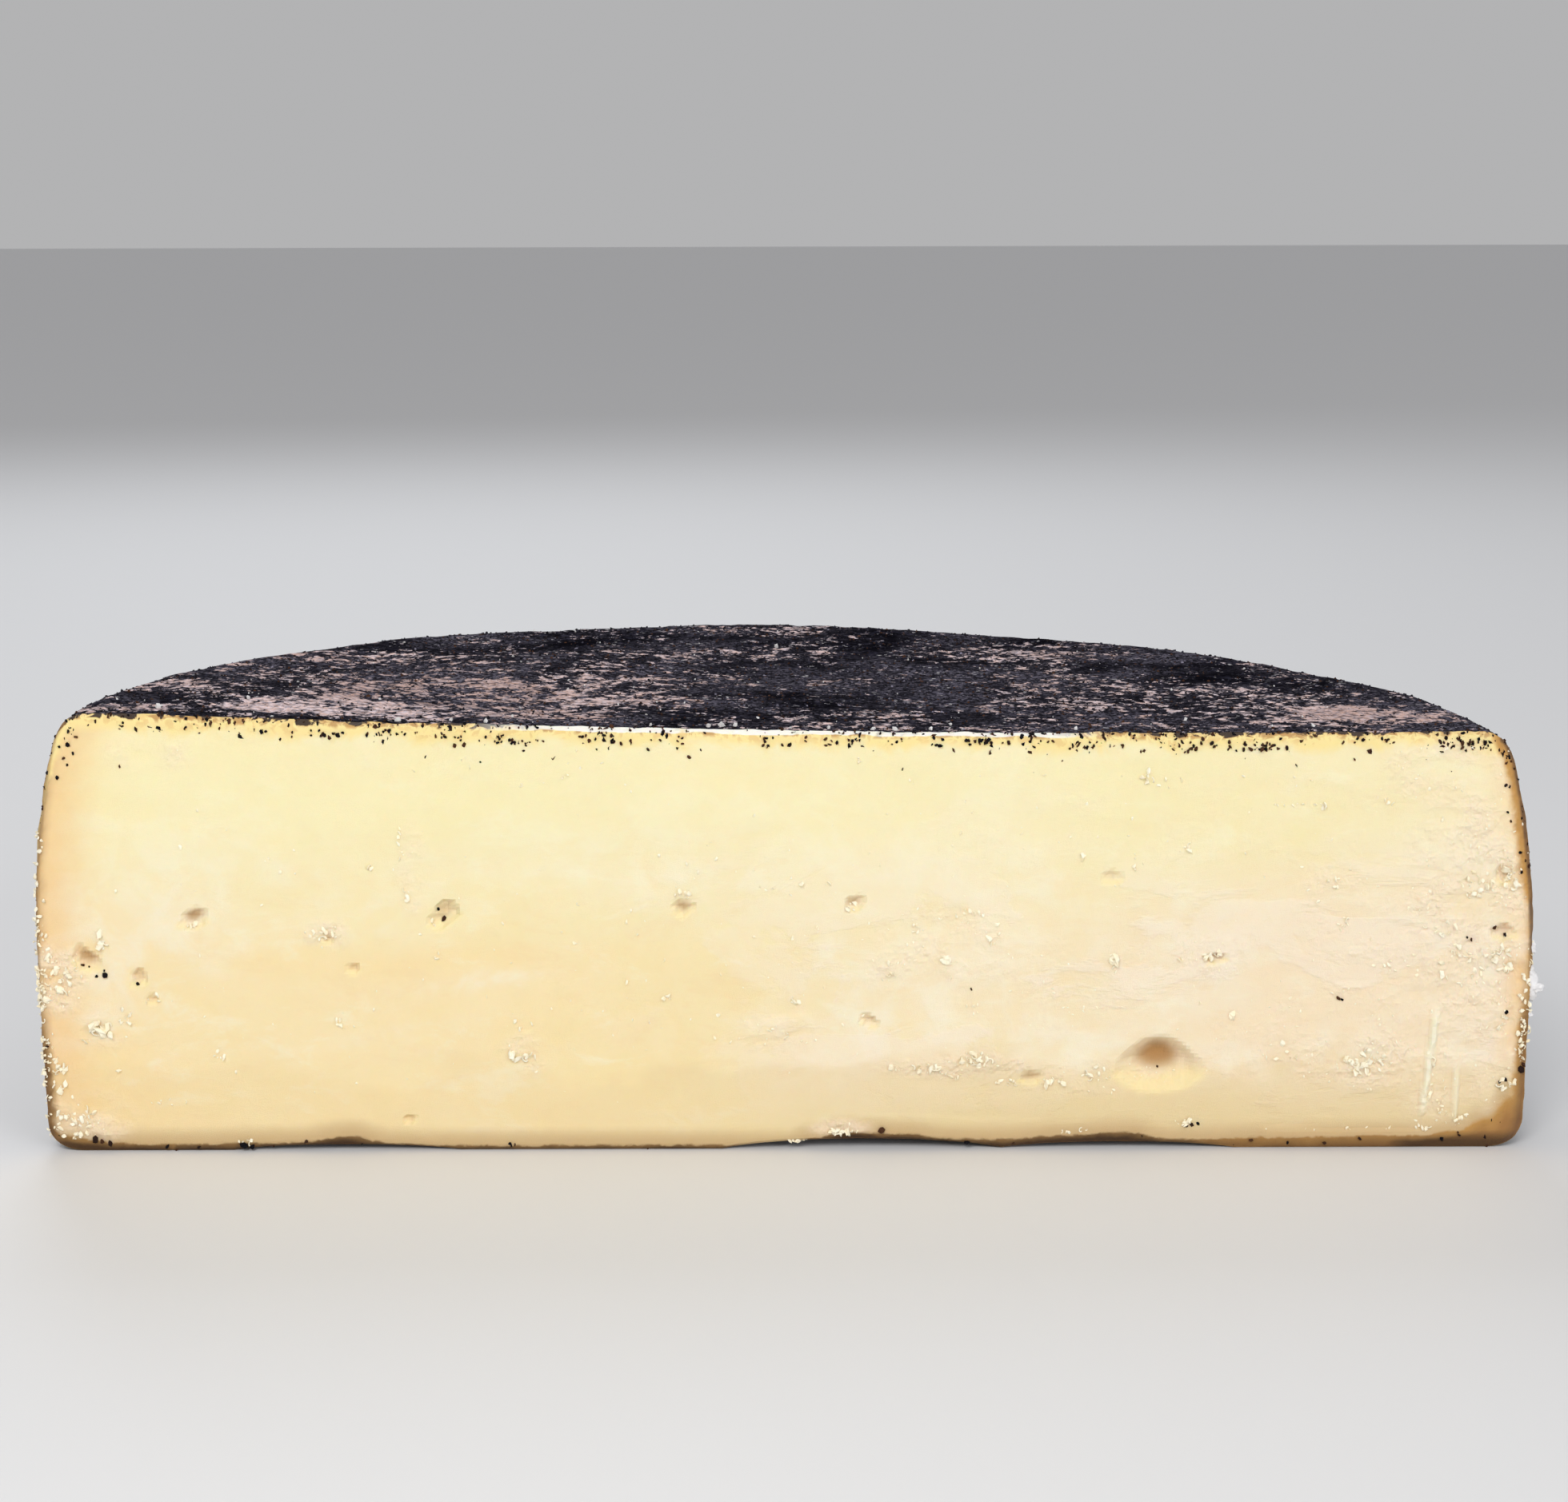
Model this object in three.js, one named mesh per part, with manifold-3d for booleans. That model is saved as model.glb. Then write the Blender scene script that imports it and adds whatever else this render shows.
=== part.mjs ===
// Half of a pressed cheese wheel that matured under a dark dry rub, standing on its flat base.
// The wheel was cut once through its middle, so the part is one solid: a half disc with a plain
// cut face, a dished top, a rounded shoulder, a side that bellies out low down, and the eyes,
// hollows and chip that the cut and the base show.
// Millimetres, +Z up. The cut face looks along -Y and the half wheel lies behind it.
// The origin is the middle of the bounding box's footprint, on the base.
import * as THREE from 'three';
import { mergeVertices } from 'three/addons/utils/BufferGeometryUtils.js';
import Module from 'manifold-3d';

// The wheel
const wheelDiameter = 340; // across the belly, the widest ring of the side
const rimThickness = 99.6; // base to the top of the rim, midway between the two ends of the cut
const thicknessDrift = 5.6; // how much thicker the wheel is at its -X rim than at its +X rim
const dishDepth = 1.9; // how far the middle of the top has sunk below the rim
const outOfRound = 1.2; // how far the pressed side wanders from a true circle
const topWave = 0.5; // height of the slow waves that the press left in the top
const topWaveLength = 120; // and their length

// The side, from the base up
const footWidth = 9; // rounded lower edge, measured along the base
const footHeight = 7.5; // and up the side
const footInset = 0.6; // how far the side stands in from the belly, just above the foot
const bellyHeight = 45; // height of the widest ring
const shoulderInset = 5.2; // how far the side leans in from the belly, just under the shoulder
const shoulderWidth = 8.5; // rounded upper edge, measured along the top
const shoulderHeight = 9; // and down the side

// Eyes in the cut face: x from the wheel's axis and z from the base, then the opening's width and
// height and how deep the eye goes
const eyes = [
  { x: 85, z: 21.5, width: 16, height: 10.5, depth: 7 },
  { x: 98.6, z: 45.7, width: 5, height: 3, depth: 2 },
  { x: 19, z: 30.6, width: 5.5, height: 2, depth: 2.2 },
  { x: 15.9, z: 58, width: 3.4, height: 2.8, depth: 2.4 },
  { x: -22.9, z: 56.8, width: 3, height: 3.4, depth: 2.2 },
  { x: -77.3, z: 55.3, width: 4.2, height: 4.4, depth: 3.2 },
  { x: -72.7, z: 16.2, width: 4.4, height: 2.6, depth: 2.4 },
  { x: -97.9, z: 43.1, width: 3, height: 2.2, depth: 1.8 },
  { x: -133.9, z: 55.6, width: 3, height: 3.6, depth: 2.4 },
];

// Eyes near the -X rim, placed by their distance in from the belly
const rimEyes = [
  { fromRim: 11, z: 45, width: 3.8, height: 5.6, depth: 2.4 },
  { fromRim: 23, z: 40.6, width: 4.2, height: 5, depth: 2.6 },
];

// Shallow hollows in the base along the cut, where the wheel doesn't touch the board
const baseHollows = [
  { x: -101, width: 52, height: 1.3, depth: 14 },
  { x: 18, width: 64, height: 2.3, depth: 18 },
  { x: 76, width: 54, height: 1.5, depth: 14 },
];

// The chip knocked out of the +X rim beside the cut
const chip = { z: 17.5, width: 7, height: 3.6, depth: 5 };

// Facets
const turnSteps = 84;
const curveSteps = 7;
const topSteps = 9;
const eyeSteps = 16;
const hollowSteps = 24;

// Worked out from the sizes above
const wheelRadius = wheelDiameter / 2;
const sideTop = rimThickness - shoulderHeight;
const sideMiddle = (bellyHeight + sideTop) / 2;
const shoulderLean = shoulderInset / (sideTop - sideMiddle);
const topRadius = wheelRadius - shoulderInset - shoulderWidth;
const dishFloor = rimThickness - dishDepth;

const wasm = await Module();
wasm.setup();

// One bend of the outline, as the points after its first: each corner is [radius, height]
function bend(start, corner, end, steps) {
  const [from, via, to] = [start, corner, end].map(([r, z]) => new THREE.Vector2(r, z));
  return new THREE.QuadraticBezierCurve(from, via, to).getPoints(steps).slice(1);
}

// The wheel's outline from the middle of its base, round the side, to the middle of its top
function wheelOutline() {
  const footStart = [wheelRadius - footInset - footWidth, 0];
  const footEnd = [wheelRadius - footInset, footHeight];
  const belly = [wheelRadius, bellyHeight];
  const sideEnd = [wheelRadius - shoulderInset, sideTop];
  const shoulderCorner = [sideEnd[0] - shoulderLean * shoulderHeight, rimThickness];
  const shoulderEnd = [topRadius, rimThickness];
  return [
    new THREE.Vector2(0, 0),
    new THREE.Vector2(...footStart),
    ...bend(footStart, [footEnd[0], 0], footEnd, curveSteps),
    ...bend(footEnd, [wheelRadius, (footHeight + bellyHeight) / 2], belly, curveSteps),
    ...bend(belly, [wheelRadius, sideMiddle], sideEnd, curveSteps),
    ...bend(sideEnd, shoulderCorner, shoulderEnd, curveSteps),
    ...bend(shoulderEnd, [topRadius / 2, dishFloor], [0, dishFloor], topSteps),
  ];
}

// Works the true turned shape into the wheel that came out of the press.
// Every change fades to nothing at the base, which stays flat.
function settle(geometry) {
  const places = geometry.attributes.position;
  const point = new THREE.Vector3();
  for (let i = 0; i < places.count; i += 1) {
    point.fromBufferAttribute(places, i);
    const turn = Math.atan2(point.y, point.x);
    const reach = Math.hypot(point.x, point.y) / wheelRadius;
    const lift = point.z / rimThickness;
    const spread = 1 + (outOfRound / wheelRadius) * reach * Math.sin(3 * turn);
    const thicker = 1 - (thicknessDrift / rimThickness) * (point.x / wheelDiameter);
    const waveX = Math.cos((2 * Math.PI * point.x) / topWaveLength);
    const waveY = Math.sin((2 * Math.PI * point.y) / topWaveLength);
    const height = point.z * thicker + topWave * lift ** 2 * waveX * waveY;
    places.setXYZ(i, point.x * spread, point.y * spread, height);
  }
}

// A closed geometry with its shared vertices merged and its flat triangles dropped
function toSolid(geometry) {
  geometry.deleteAttribute('normal');
  geometry.deleteAttribute('uv');
  const merged = mergeVertices(geometry);
  const corners = merged.index.array;
  const kept = [];
  for (let i = 0; i < corners.length; i += 3) {
    const [a, b, c] = corners.slice(i, i + 3);
    if (a !== b && b !== c && c !== a) kept.push(a, b, c);
  }
  const vertProperties = new Float32Array(merged.attributes.position.array);
  const triVerts = new Uint32Array(kept);
  return new wasm.Manifold(new wasm.Mesh({ numProp: 3, vertProperties, triVerts }));
}

function toGeometry(solid) {
  const mesh = solid.getMesh();
  const geometry = new THREE.BufferGeometry();
  geometry.setAttribute('position', new THREE.BufferAttribute(mesh.vertProperties, 3));
  geometry.setIndex(new THREE.BufferAttribute(mesh.triVerts, 1));
  geometry.computeVertexNormals();
  return geometry;
}

function wholeWheel() {
  const wheel = new THREE.LatheGeometry(wheelOutline(), turnSteps);
  wheel.rotateX(Math.PI / 2);
  settle(wheel);
  return toSolid(wheel);
}

// The half of space behind the cut, as a block that clears the wheel on every side
function behindTheCut() {
  const block = new THREE.BoxGeometry(2 * wheelDiameter, wheelDiameter, 4 * rimThickness);
  block.translate(0, wheelDiameter / 2, 0);
  return toSolid(block);
}

// A rounded bite out of the cut's edge or face: an ellipsoid centred on the cut's plane
function bite({ x, z, width, height, depth }, steps) {
  const ball = new THREE.SphereGeometry(1, steps, steps / 2);
  ball.scale(width / 2, depth, height / 2);
  ball.translate(x, 0, z);
  return toSolid(ball);
}

function halfWheel() {
  const facePits = eyes.map((eye) => bite(eye, eyeSteps));
  const rimPits = rimEyes.map((eye) => bite({ ...eye, x: eye.fromRim - wheelRadius }, eyeSteps));
  const hollows = baseHollows.map(({ height, ...rest }) =>
    bite({ ...rest, z: 0, height: 2 * height }, hollowSteps));
  const chipped = bite({ ...chip, x: wheelRadius }, eyeSteps);
  const half = wholeWheel().intersect(behindTheCut());
  return [...facePits, ...rimPits, ...hollows, chipped].reduce((rest, cut) => rest.subtract(cut), half);
}

// The half wheel's mesh, moved so that its footprint's middle is the origin
function makeCheese() {
  const geometry = toGeometry(halfWheel());
  const paste = new THREE.MeshStandardMaterial({ color: '#f6e4b4', roughness: 0.55, metalness: 0 });
  const cheese = new THREE.Mesh(geometry, paste);
  cheese.name = 'cheese_half_wheel';
  geometry.computeBoundingBox();
  const middle = geometry.boundingBox.getCenter(new THREE.Vector3());
  cheese.position.set(-middle.x, -middle.y, -geometry.boundingBox.min.z);
  return cheese;
}

const group = new THREE.Group();
group.add(makeCheese());

export default group;
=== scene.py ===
"""A half wheel of pressed cheese with a dark dry rub, dressed around its frame.

Laid out as a Blender add-on and run as a script. Lengths in the settings are in metres. The shaping
code works in millimetres, in wheel coordinates: x along the cut, y behind it, z up from the base.
"""
import math

import bmesh
import bpy
import numpy as np
from mathutils import Matrix, Vector, noise


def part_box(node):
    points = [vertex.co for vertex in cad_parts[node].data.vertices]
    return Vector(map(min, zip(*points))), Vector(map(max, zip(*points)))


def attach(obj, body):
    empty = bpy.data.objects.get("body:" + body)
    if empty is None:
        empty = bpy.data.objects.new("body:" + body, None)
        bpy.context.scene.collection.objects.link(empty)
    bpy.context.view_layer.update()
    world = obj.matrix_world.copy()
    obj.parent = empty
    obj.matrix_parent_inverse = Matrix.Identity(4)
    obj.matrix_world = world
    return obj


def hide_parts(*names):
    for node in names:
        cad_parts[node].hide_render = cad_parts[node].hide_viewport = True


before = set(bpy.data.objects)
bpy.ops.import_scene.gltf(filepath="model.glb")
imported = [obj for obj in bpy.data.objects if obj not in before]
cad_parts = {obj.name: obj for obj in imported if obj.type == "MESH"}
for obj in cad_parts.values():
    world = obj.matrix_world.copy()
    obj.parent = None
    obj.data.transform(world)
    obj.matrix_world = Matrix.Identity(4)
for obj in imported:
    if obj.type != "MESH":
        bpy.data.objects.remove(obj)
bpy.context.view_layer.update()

bl_info = {
    "name": "Rubbed Cheese Half Wheel",
    "version": (1, 0, 0),
    "blender": (4, 5, 0),
    "location": "3D View > Sidebar > Cheese",
    "description": "Builds the paste, rind, rub, flecks and crumbs of a half wheel of cheese",
    "category": "Add Mesh",
}

NODE = "cheese_half_wheel"
BODY = "root"
MM = 0.001
NODE_LOW, NODE_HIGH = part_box(NODE)

# Eyes of the cut: place along it and up from the base, size and depth, in millimetres.
# Eye shade (the painted shade inside an eye), taper and slant are shares.
EYES = (
    dict(x=85.4, z=20.3, width=19.5, height=13, depth=3.3, eye_shade=1.0, taper=0.3),
    dict(x=98.4, z=45, width=4.6, height=2.6, depth=1.2, eye_shade=0.8, taper=0),
    dict(x=19, z=30.6, width=4.6, height=2.6, depth=1.2, eye_shade=0.35, taper=0, slant=-0.45),
    dict(x=15.6, z=58, width=4.6, height=3.8, depth=1.1, eye_shade=0.6, taper=-0.3),
    dict(x=-22.9, z=57, width=5.6, height=4.2, depth=1.1, eye_shade=0.75, taper=-0.4),
    dict(x=-77, z=55.6, width=7, height=6.6, depth=1.7, eye_shade=0.4, taper=0, slant=0.3),
    dict(x=-98, z=43.2, width=3.4, height=2.6, depth=1.0, eye_shade=0.45, taper=0),
    dict(x=-103.6, z=50, width=3, height=2, depth=0.8, eye_shade=0.3, taper=0),
    dict(x=-133.8, z=55, width=7, height=5.2, depth=1.1, eye_shade=0.85, taper=0, slant=0.2),
    dict(x=-158.6, z=45.4, width=7.5, height=5.6, depth=1.2, eye_shade=0.8, taper=0, slant=-0.3),
    dict(x=-147, z=41, width=4.6, height=5, depth=1.0, eye_shade=0.35, taper=0),
    dict(x=-144, z=36, width=3, height=2.4, depth=0.8, eye_shade=0.3, taper=0),
    dict(x=56, z=17, width=7, height=3, depth=0.8, eye_shade=0.6, taper=0),
    dict(x=-86, z=7.4, width=3, height=2.2, depth=1.0, eye_shade=0.2, taper=0),
    dict(x=163, z=51, width=6, height=4, depth=1.2, eye_shade=0.35, taper=0),
    dict(x=162.5, z=64, width=4, height=5, depth=1.0, eye_shade=0.3, taper=0),
    dict(x=74, z=64, width=5, height=3.4, depth=0.6, eye_shade=0.2, taper=0),
)
# Patches where the cut tore or crumbled: centre, half sizes and strength
TORN = (
    (156, 60, 17, 34, 0.8), (158, 30, 14, 26, 0.65), (133, 21, 17, 8, 0.9), (38, 20, 20, 3.4, 0.7),
    (36, 49, 17, 10, 0.55), (97, 46, 9, 5, 0.6), (125, 57, 10, 12, 0.5), (-165, 41, 7, 9, 1.0),
    (-156, 29, 7, 5, 0.5), (-160, 8, 12, 7, 0.8), (-142, 93, 12, 5, 0.5), (-104, 51, 6, 4, 0.6),
    (-59, 23, 7, 5, 0.7), (-2, 28, 10, 5, 0.55), (13, 5, 8, 2.5, 1.0), (150, 88, 17, 8, 0.75),
    (72, 17, 22, 5, 0.55), (112, 25, 18, 12, 0.4), (-84, 66, 4, 12, 0.4), (24, 42, 6, 5, 0.7),
    (98, 76, 90, 14, 0.15), (142, 40, 26, 24, 0.45), (150, 10, 9, 7, 0.5), (62, 40, 34, 14, 0.25),
)
# Pale shreds: centre, half sizes of the patch, how many, and the length of the longest
SHREDS = (
    (-166, 42, 5, 5, 34, 2.0), (-169, 37, 2, 4, 16, 1.8), (-155, 50, 1.2, 3, 6, 2.6),
    (-156, 29, 3, 2, 16, 2.7), (-160, 26.5, 1, 1, 2, 1.6), (-150, 32, 2, 2, 9, 1.4),
    (-152, 19, 1, 1, 3, 1.7), (-166, 18, 2, 4, 14, 1.7), (-162, 7, 6, 4, 34, 1.5),
    (-144, 36, 2, 2, 5, 1.1), (-104.5, 51.5, 3, 1.5, 12, 1.6), (-100, 30.5, 3, 1.5, 6, 1.4),
    (-112, 66, 3, 1, 4, 1.3), (-93.5, 66.5, 0.5, 0.5, 2, 1.5), (-86.5, 72, 0.7, 4, 10, 1.2),
    (-85, 60, 1.4, 2, 7, 1.3), (-79, 46, 1, 0.8, 4, 1.3), (-80, 54, 2, 1, 5, 1.4),
    (-60, 22.5, 3.5, 1, 9, 2.0), (-60, 30, 4, 3, 6, 1.2), (-50, 88, 1.4, 1, 4, 1.3),
    (-134.5, 53.2, 1.6, 0.7, 5, 1.6), (-129, 23, 2.5, 1, 5, 1.2), (-142, 11.5, 6, 1, 7, 1.1),
    (-23, 60.5, 1.8, 1.2, 8, 1.5), (15.5, 57, 1.8, 1.2, 8, 1.5), (16.7, 90.5, 0.6, 1, 3, 1.4),
    (3.5, 62.6, 0.6, 0.5, 2, 1.4), (10.4, 62.3, 0.8, 1.3, 3, 1.3), (7, 52, 1, 1, 3, 1.2),
    (30, 51, 1.5, 3, 5, 1.3), (42, 55.5, 4, 0.8, 9, 1.5), (47, 51, 2.5, 2.5, 8, 1.6),
    (37, 44.8, 1.6, 0.8, 8, 2.1), (38.5, 41, 0.7, 0.6, 2, 1.4), (24, 42, 2.2, 3, 12, 1.4),
    (-27, 36.3, 1.2, 0.8, 4, 1.7), (2, 35.2, 1.4, 0.8, 5, 1.6), (-2, 28, 4, 1.6, 10, 1.3),
    (43.5, 33.5, 0.8, 1.5, 3, 1.2), (43.5, 21.5, 3.5, 1.8, 26, 1.8), (32, 19.5, 4, 1, 13, 1.6),
    (25.5, 19.4, 1.6, 0.7, 5, 1.4), (38, 17.5, 3, 1, 9, 1.3), (51, 16.2, 3, 1, 11, 1.5),
    (62, 16.2, 2.5, 0.8, 11, 1.7), (71, 17.5, 4, 2, 11, 1.5), (74.5, 45.5, 1, 1.2, 5, 2.2),
    (75, 42, 0.6, 1.4, 3, 1.5), (64, 33.8, 0.7, 0.5, 2, 1.3), (97, 46, 2.4, 1, 13, 1.9),
    (90.5, 44.5, 1, 0.6, 3, 1.3), (102.5, 31.7, 0.8, 0.8, 3, 1.6), (82, 87, 2, 1.6, 6, 1.9),
    (91.3, 70.8, 1.4, 0.7, 4, 1.5), (67.4, 68.6, 0.8, 0.8, 3, 1.5), (79.2, 68, 0.3, 3, 4, 1.3),
    (121.5, 80.2, 0.9, 0.9, 4, 2.2), (115, 80.6, 5, 0.3, 7, 1.1), (136, 81, 1.2, 0.8, 4, 1.6),
    (124.4, 62.5, 2, 1, 9, 1.4), (126.5, 53, 1.4, 1.6, 7, 1.4), (136, 42.5, 3, 2, 9, 1.4),
    (133, 20.5, 6, 3, 40, 1.8), (113, 23, 7, 3, 14, 1.3), (149, 52, 4, 2, 12, 1.6),
    (157, 62, 5, 3, 24, 1.8), (164, 64, 2.5, 4, 16, 2.0), (155, 43, 6, 5, 24, 1.6),
    (163, 45, 3, 4, 18, 1.9), (163, 34, 2, 6, 14, 1.4), (148, 78, 0.6, 2, 4, 1.5),
    (147.6, 21, 0.5, 12, 12, 1.6), (150.5, 12, 1.2, 5, 12, 1.2), (153, 7.2, 4, 2, 14, 1.3),
    (146.3, 5, 2, 0.8, 8, 1.3), (168.6, 24, 0.8, 4, 14, 1.4), (165.4, 15.5, 2, 1.4, 12, 1.4),
    (12.5, 4.3, 3.2, 0.6, 26, 1.5), (3, 1.3, 2.5, 0.5, 8, 1.3), (-123.6, 2.4, 2, 0.6, 8, 1.2),
    (92.5, 6.4, 2.6, 0.8, 9, 1.5), (66, 4.4, 4, 0.4, 6, 1.1), (82, 86, 60, 1.5, 14, 1.0),
    (128, 4.6, 20, 0.4, 9, 0.9), (40, 55, 110, 34, 120, 0.9), (-60, 50, 100, 44, 110, 0.9),
)
# Dark grains that the knife dragged over the cut: place and length
SPECKS = (
    (-149, 90, 0.9), (-78.3, 56.7, 1.1), (-77.3, 54.6, 1.6), (-147.1, 39.2, 1.2),
    (-159.7, 43.8, 1.3), (-158.2, 43.4, 0.8), (-154.5, 41.8, 1.5), (-156.4, 41.5, 1.0),
    (-154.6, 42.8, 0.8), (-158.3, 3.1, 1.9), (-155, 2.3, 1.8), (-156.8, 2.6, 1.4),
    (-168.2, 25, 1.3), (-142, 1.4, 1.2), (-124.3, 1.8, 2.2), (-122.6, 1.7, 1.6), (-134.7, 1.2, 1),
    (-110, 2.6, 1.1), (22.2, 4.6, 1.9), (42, 2.2, 1.4), (92, 5.6, 1.5), (93.4, 5.7, 1.4),
    (94.8, 6, 0.9), (85.6, 18.9, 0.7), (42.4, 38, 0.9), (126, 35.7, 1.3), (126.9, 35.4, 0.8),
    (161, 52.5, 1.2), (156, 49.2, 1.3), (154.8, 49.9, 0.8), (163.6, 49.6, 1.2), (164.3, 32.1, 1.1),
    (162.1, 85, 1.2), (162.8, 78.9, 0.9), (163.6, 76.6, 0.8), (166.7, 64.7, 0.9), (165, 16.3, 1.4),
    (163.6, 15.6, 1), (168.2, 18.5, 1.9), (169, 19.6, 1.3), (107, 2.2, 1.3), (124, 1.4, 1.2),
    (132, 2.6, 1), (151, 2, 1.2), (155, 3, 0.9), (-30.5, 93.6, 1), (-21.3, 91.8, 1.1),
    (-160.5, 95, 1.3), (-159.4, 93, 1.1), (-161.5, 92, 1.0), (-160.8, 90.4, 0.9),
    (-163.2, 87.5, 1.1), (-158.6, 96.8, 1.2), (-162.4, 94.6, 0.9), (-160.2, 98, 1.0),
)
# Shallow hollows in the base along the cut: middle, width, height and how far back they run
BASE_HOLLOWS = ((-101, 52, 1.3, 14), (18, 64, 2.3, 18), (76, 54, 1.5, 14))
# Upper edge of the dried brown strip along the foot of the cut: x and height
FOOT_EDGE = (
    (-172, 7), (-166, 4), (-160, 2.9), (-154, 2), (-147, 1.6), (-134, 1.5), (-122, 1.9),
    (-112, 1.9), (-100, 3.4), (-90, 1.5), (-82, 1.1), (-60, 1), (-20, 1), (0, 1), (7, 2.6),
    (14, 4.3), (27, 3.6), (40, 2.4), (52, 2.3), (63, 3.2), (79, 4), (88, 2.2), (96, 2.1),
    (110, 2.6), (130, 2.9), (148, 3.1), (155, 4.2), (161, 7), (166, 12), (172, 20),
)
# Clumps of dark grains under the upper edge: x, depth, half sizes, how many and the longest
RUB_CLUMPS = (
    (-147.4, 2.2, 1, 0.5, 2, 1.0), (-134.4, 2.6, 0.6, 0.3, 2, 1.1), (-130.5, 3.4, 0.5, 0.3, 1, 0.8),
    (-116.7, 2.4, 0.8, 0.6, 2, 1.0), (-110.8, 3.2, 0.8, 0.6, 2, 0.8), (-104.7, 2.6, 2, 0.8, 6, 1.2),
    (-100.8, 3.2, 2.2, 0.8, 6, 1.2), (-90.8, 2.2, 3, 0.8, 8, 1.2), (-86.6, 2, 2, 0.5, 4, 0.9),
    (-82.6, 2.2, 0.8, 0.4, 2, 0.9), (-75.4, 2.4, 0.8, 0.3, 2, 1.1), (-72.9, 3.4, 1.4, 1.4, 6, 1.3),
    (-67.9, 2.6, 1.6, 0.8, 3, 1.0), (-62.8, 3, 2.4, 1, 9, 1.2), (-59.2, 3.6, 2, 0.8, 5, 1.1),
    (-55.5, 3, 1.6, 0.7, 4, 1.0), (-42, 2.4, 5, 0.8, 9, 1.1), (-26, 2.2, 4, 0.7, 5, 1.0),
    (-2, 2.4, 3.4, 1, 8, 1.2), (12, 2.4, 5, 0.8, 8, 1.1), (24, 2.2, 3, 0.8, 5, 1.0),
    (34.7, 2.6, 1.6, 1.4, 5, 1.3), (46.2, 2.2, 6, 0.8, 14, 1.4), (56.8, 1.4, 4, 0.6, 8, 1.1),
    (66.8, 2.8, 3, 1, 6, 1.2), (75.6, 2.6, 0.8, 0.5, 2, 1.2), (86.2, 1.4, 3, 0.8, 6, 1.1),
    (91.1, 2.6, 1.4, 1.6, 9, 1.3), (96.2, 2, 4, 1.2, 10, 1.3), (104.4, 2.8, 4, 1.2, 12, 1.3),
    (110.3, 2.2, 3, 1.4, 7, 1.2), (128.8, 1.8, 1, 0.8, 3, 1.2), (135.5, 2, 1, 0.6, 3, 1.0),
    (150.2, 2.4, 3.4, 1.4, 9, 1.2), (155.5, 2.8, 3, 1.4, 7, 1.2),
)
# Patches of the top where the rub has worn off: centre x, y behind the cut, half sizes, strength
WORN = (
    (-72, 44, 44, 22, 1.0), (-98, 16, 40, 13, 1.0), (-40, 66, 26, 10, 0.8), (-112, 92, 24, 12, 0.8),
    (-58, 20, 26, 12, 0.8), (-34, 36, 20, 8, 0.8), (112, 12, 20, 8, 0.7), (100, 34, 60, 34, 0.5),
    (-78, 56, 72, 56, 0.4), (-84, 30, 42, 26, 0.95), (138, 24, 28, 14, 0.9), (96, 60, 26, 12, 0.7),
    (-8, 146, 24, 9, 0.6), (60, 112, 34, 13, 0.6), (-140, 40, 20, 14, 0.8), (20, 22, 16, 8, 0.5),
    (-20, 108, 30, 10, 0.5), (-146, 9, 16, 6, 0.8),
)
# Pale crumbs that lie on the top near the cut: x, y behind the cut, length
TOP_CRUMBS = (
    (-124, 22, 1.7), (-87, 3, 1.9), (-75, 3.6, 1.6), (-67, 2, 1.8), (-62, 12, 1.2), (-14, 4.2, 2.0),
    (-11, 3.8, 1.5), (-17, 3, 1.4), (10, 3, 1.4), (20, 2.4, 1.5), (25, 2.2, 1.5), (33, 2.6, 1.3),
    (-6, 14, 1.1), (38, 9, 1.2), (-2, 120, 1.9), (-142, 8, 1.6), (-30, 2.2, 1.2), (66, 5, 1.2),
    (92, 16, 1.3), (120, 7, 1.3),
)


# ---------------------------------------------------------------- settings


class CheeseShape(bpy.types.PropertyGroup):
    """Sizes of the half wheel, which its frame also has."""

    radius: bpy.props.FloatProperty(
        name="Radius", description="Radius of the widest ring of the side", subtype="DISTANCE",
        default=(NODE_HIGH.x - NODE_LOW.x) / 2, unit="LENGTH", precision=4)
    drift: bpy.props.FloatProperty(
        name="Thickness Drift", description="How much thicker the left rim is than the right one",
        default=0.0056, unit="LENGTH", precision=4)
    dish: bpy.props.FloatProperty(
        name="Dish", description="How far the middle of the top has sunk below the rim",
        default=0.0019, unit="LENGTH", precision=4)
    shoulder: bpy.props.FloatVectorProperty(
        name="Shoulder", description="Width, height and inset of the rounded upper edge",
        default=(0.0085, 0.009, 0.0052), size=3, unit="LENGTH", precision=4)
    foot: bpy.props.FloatVectorProperty(
        name="Foot", description="Width, height and inset of the rounded lower edge",
        default=(0.009, 0.0075, 0.0006), size=3, unit="LENGTH", precision=4)
    belly: bpy.props.FloatProperty(
        name="Belly Height", description="Height of the widest ring of the side",
        default=0.045, unit="LENGTH", precision=4)
    cells: bpy.props.IntVectorProperty(
        name="Cells", description="Rind cells across, back and up; the cut has twice as many",
        default=(190, 62, 55), size=3, min=8)


class PasteLook(bpy.types.PropertyGroup):
    """Colours of the cut paste."""

    cream: bpy.props.FloatVectorProperty(
        name="Cream", description="Main colour of the paste", subtype="COLOR", size=3,
        default=(0.94, 0.795, 0.465))
    pale: bpy.props.FloatVectorProperty(
        name="Pale", description="Paler, pinker clouds and torn paste", subtype="COLOR", size=3,
        default=(0.97, 0.815, 0.575))
    butter: bpy.props.FloatVectorProperty(
        name="Butter", description="Yellow paste under the rind", subtype="COLOR", size=3,
        default=(1.0, 0.80, 0.36))
    amber: bpy.props.FloatVectorProperty(
        name="Amber", description="Dried paste at the side and the foot", subtype="COLOR", size=3,
        default=(0.42, 0.21, 0.065))
    # Colour of the painted shade inside the eyes
    eye_shade: bpy.props.FloatVectorProperty(
        name="Painted Eye Shade", description="Brown inside the eyes", subtype="COLOR", size=3,
        default=(0.46, 0.245, 0.085))


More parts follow.
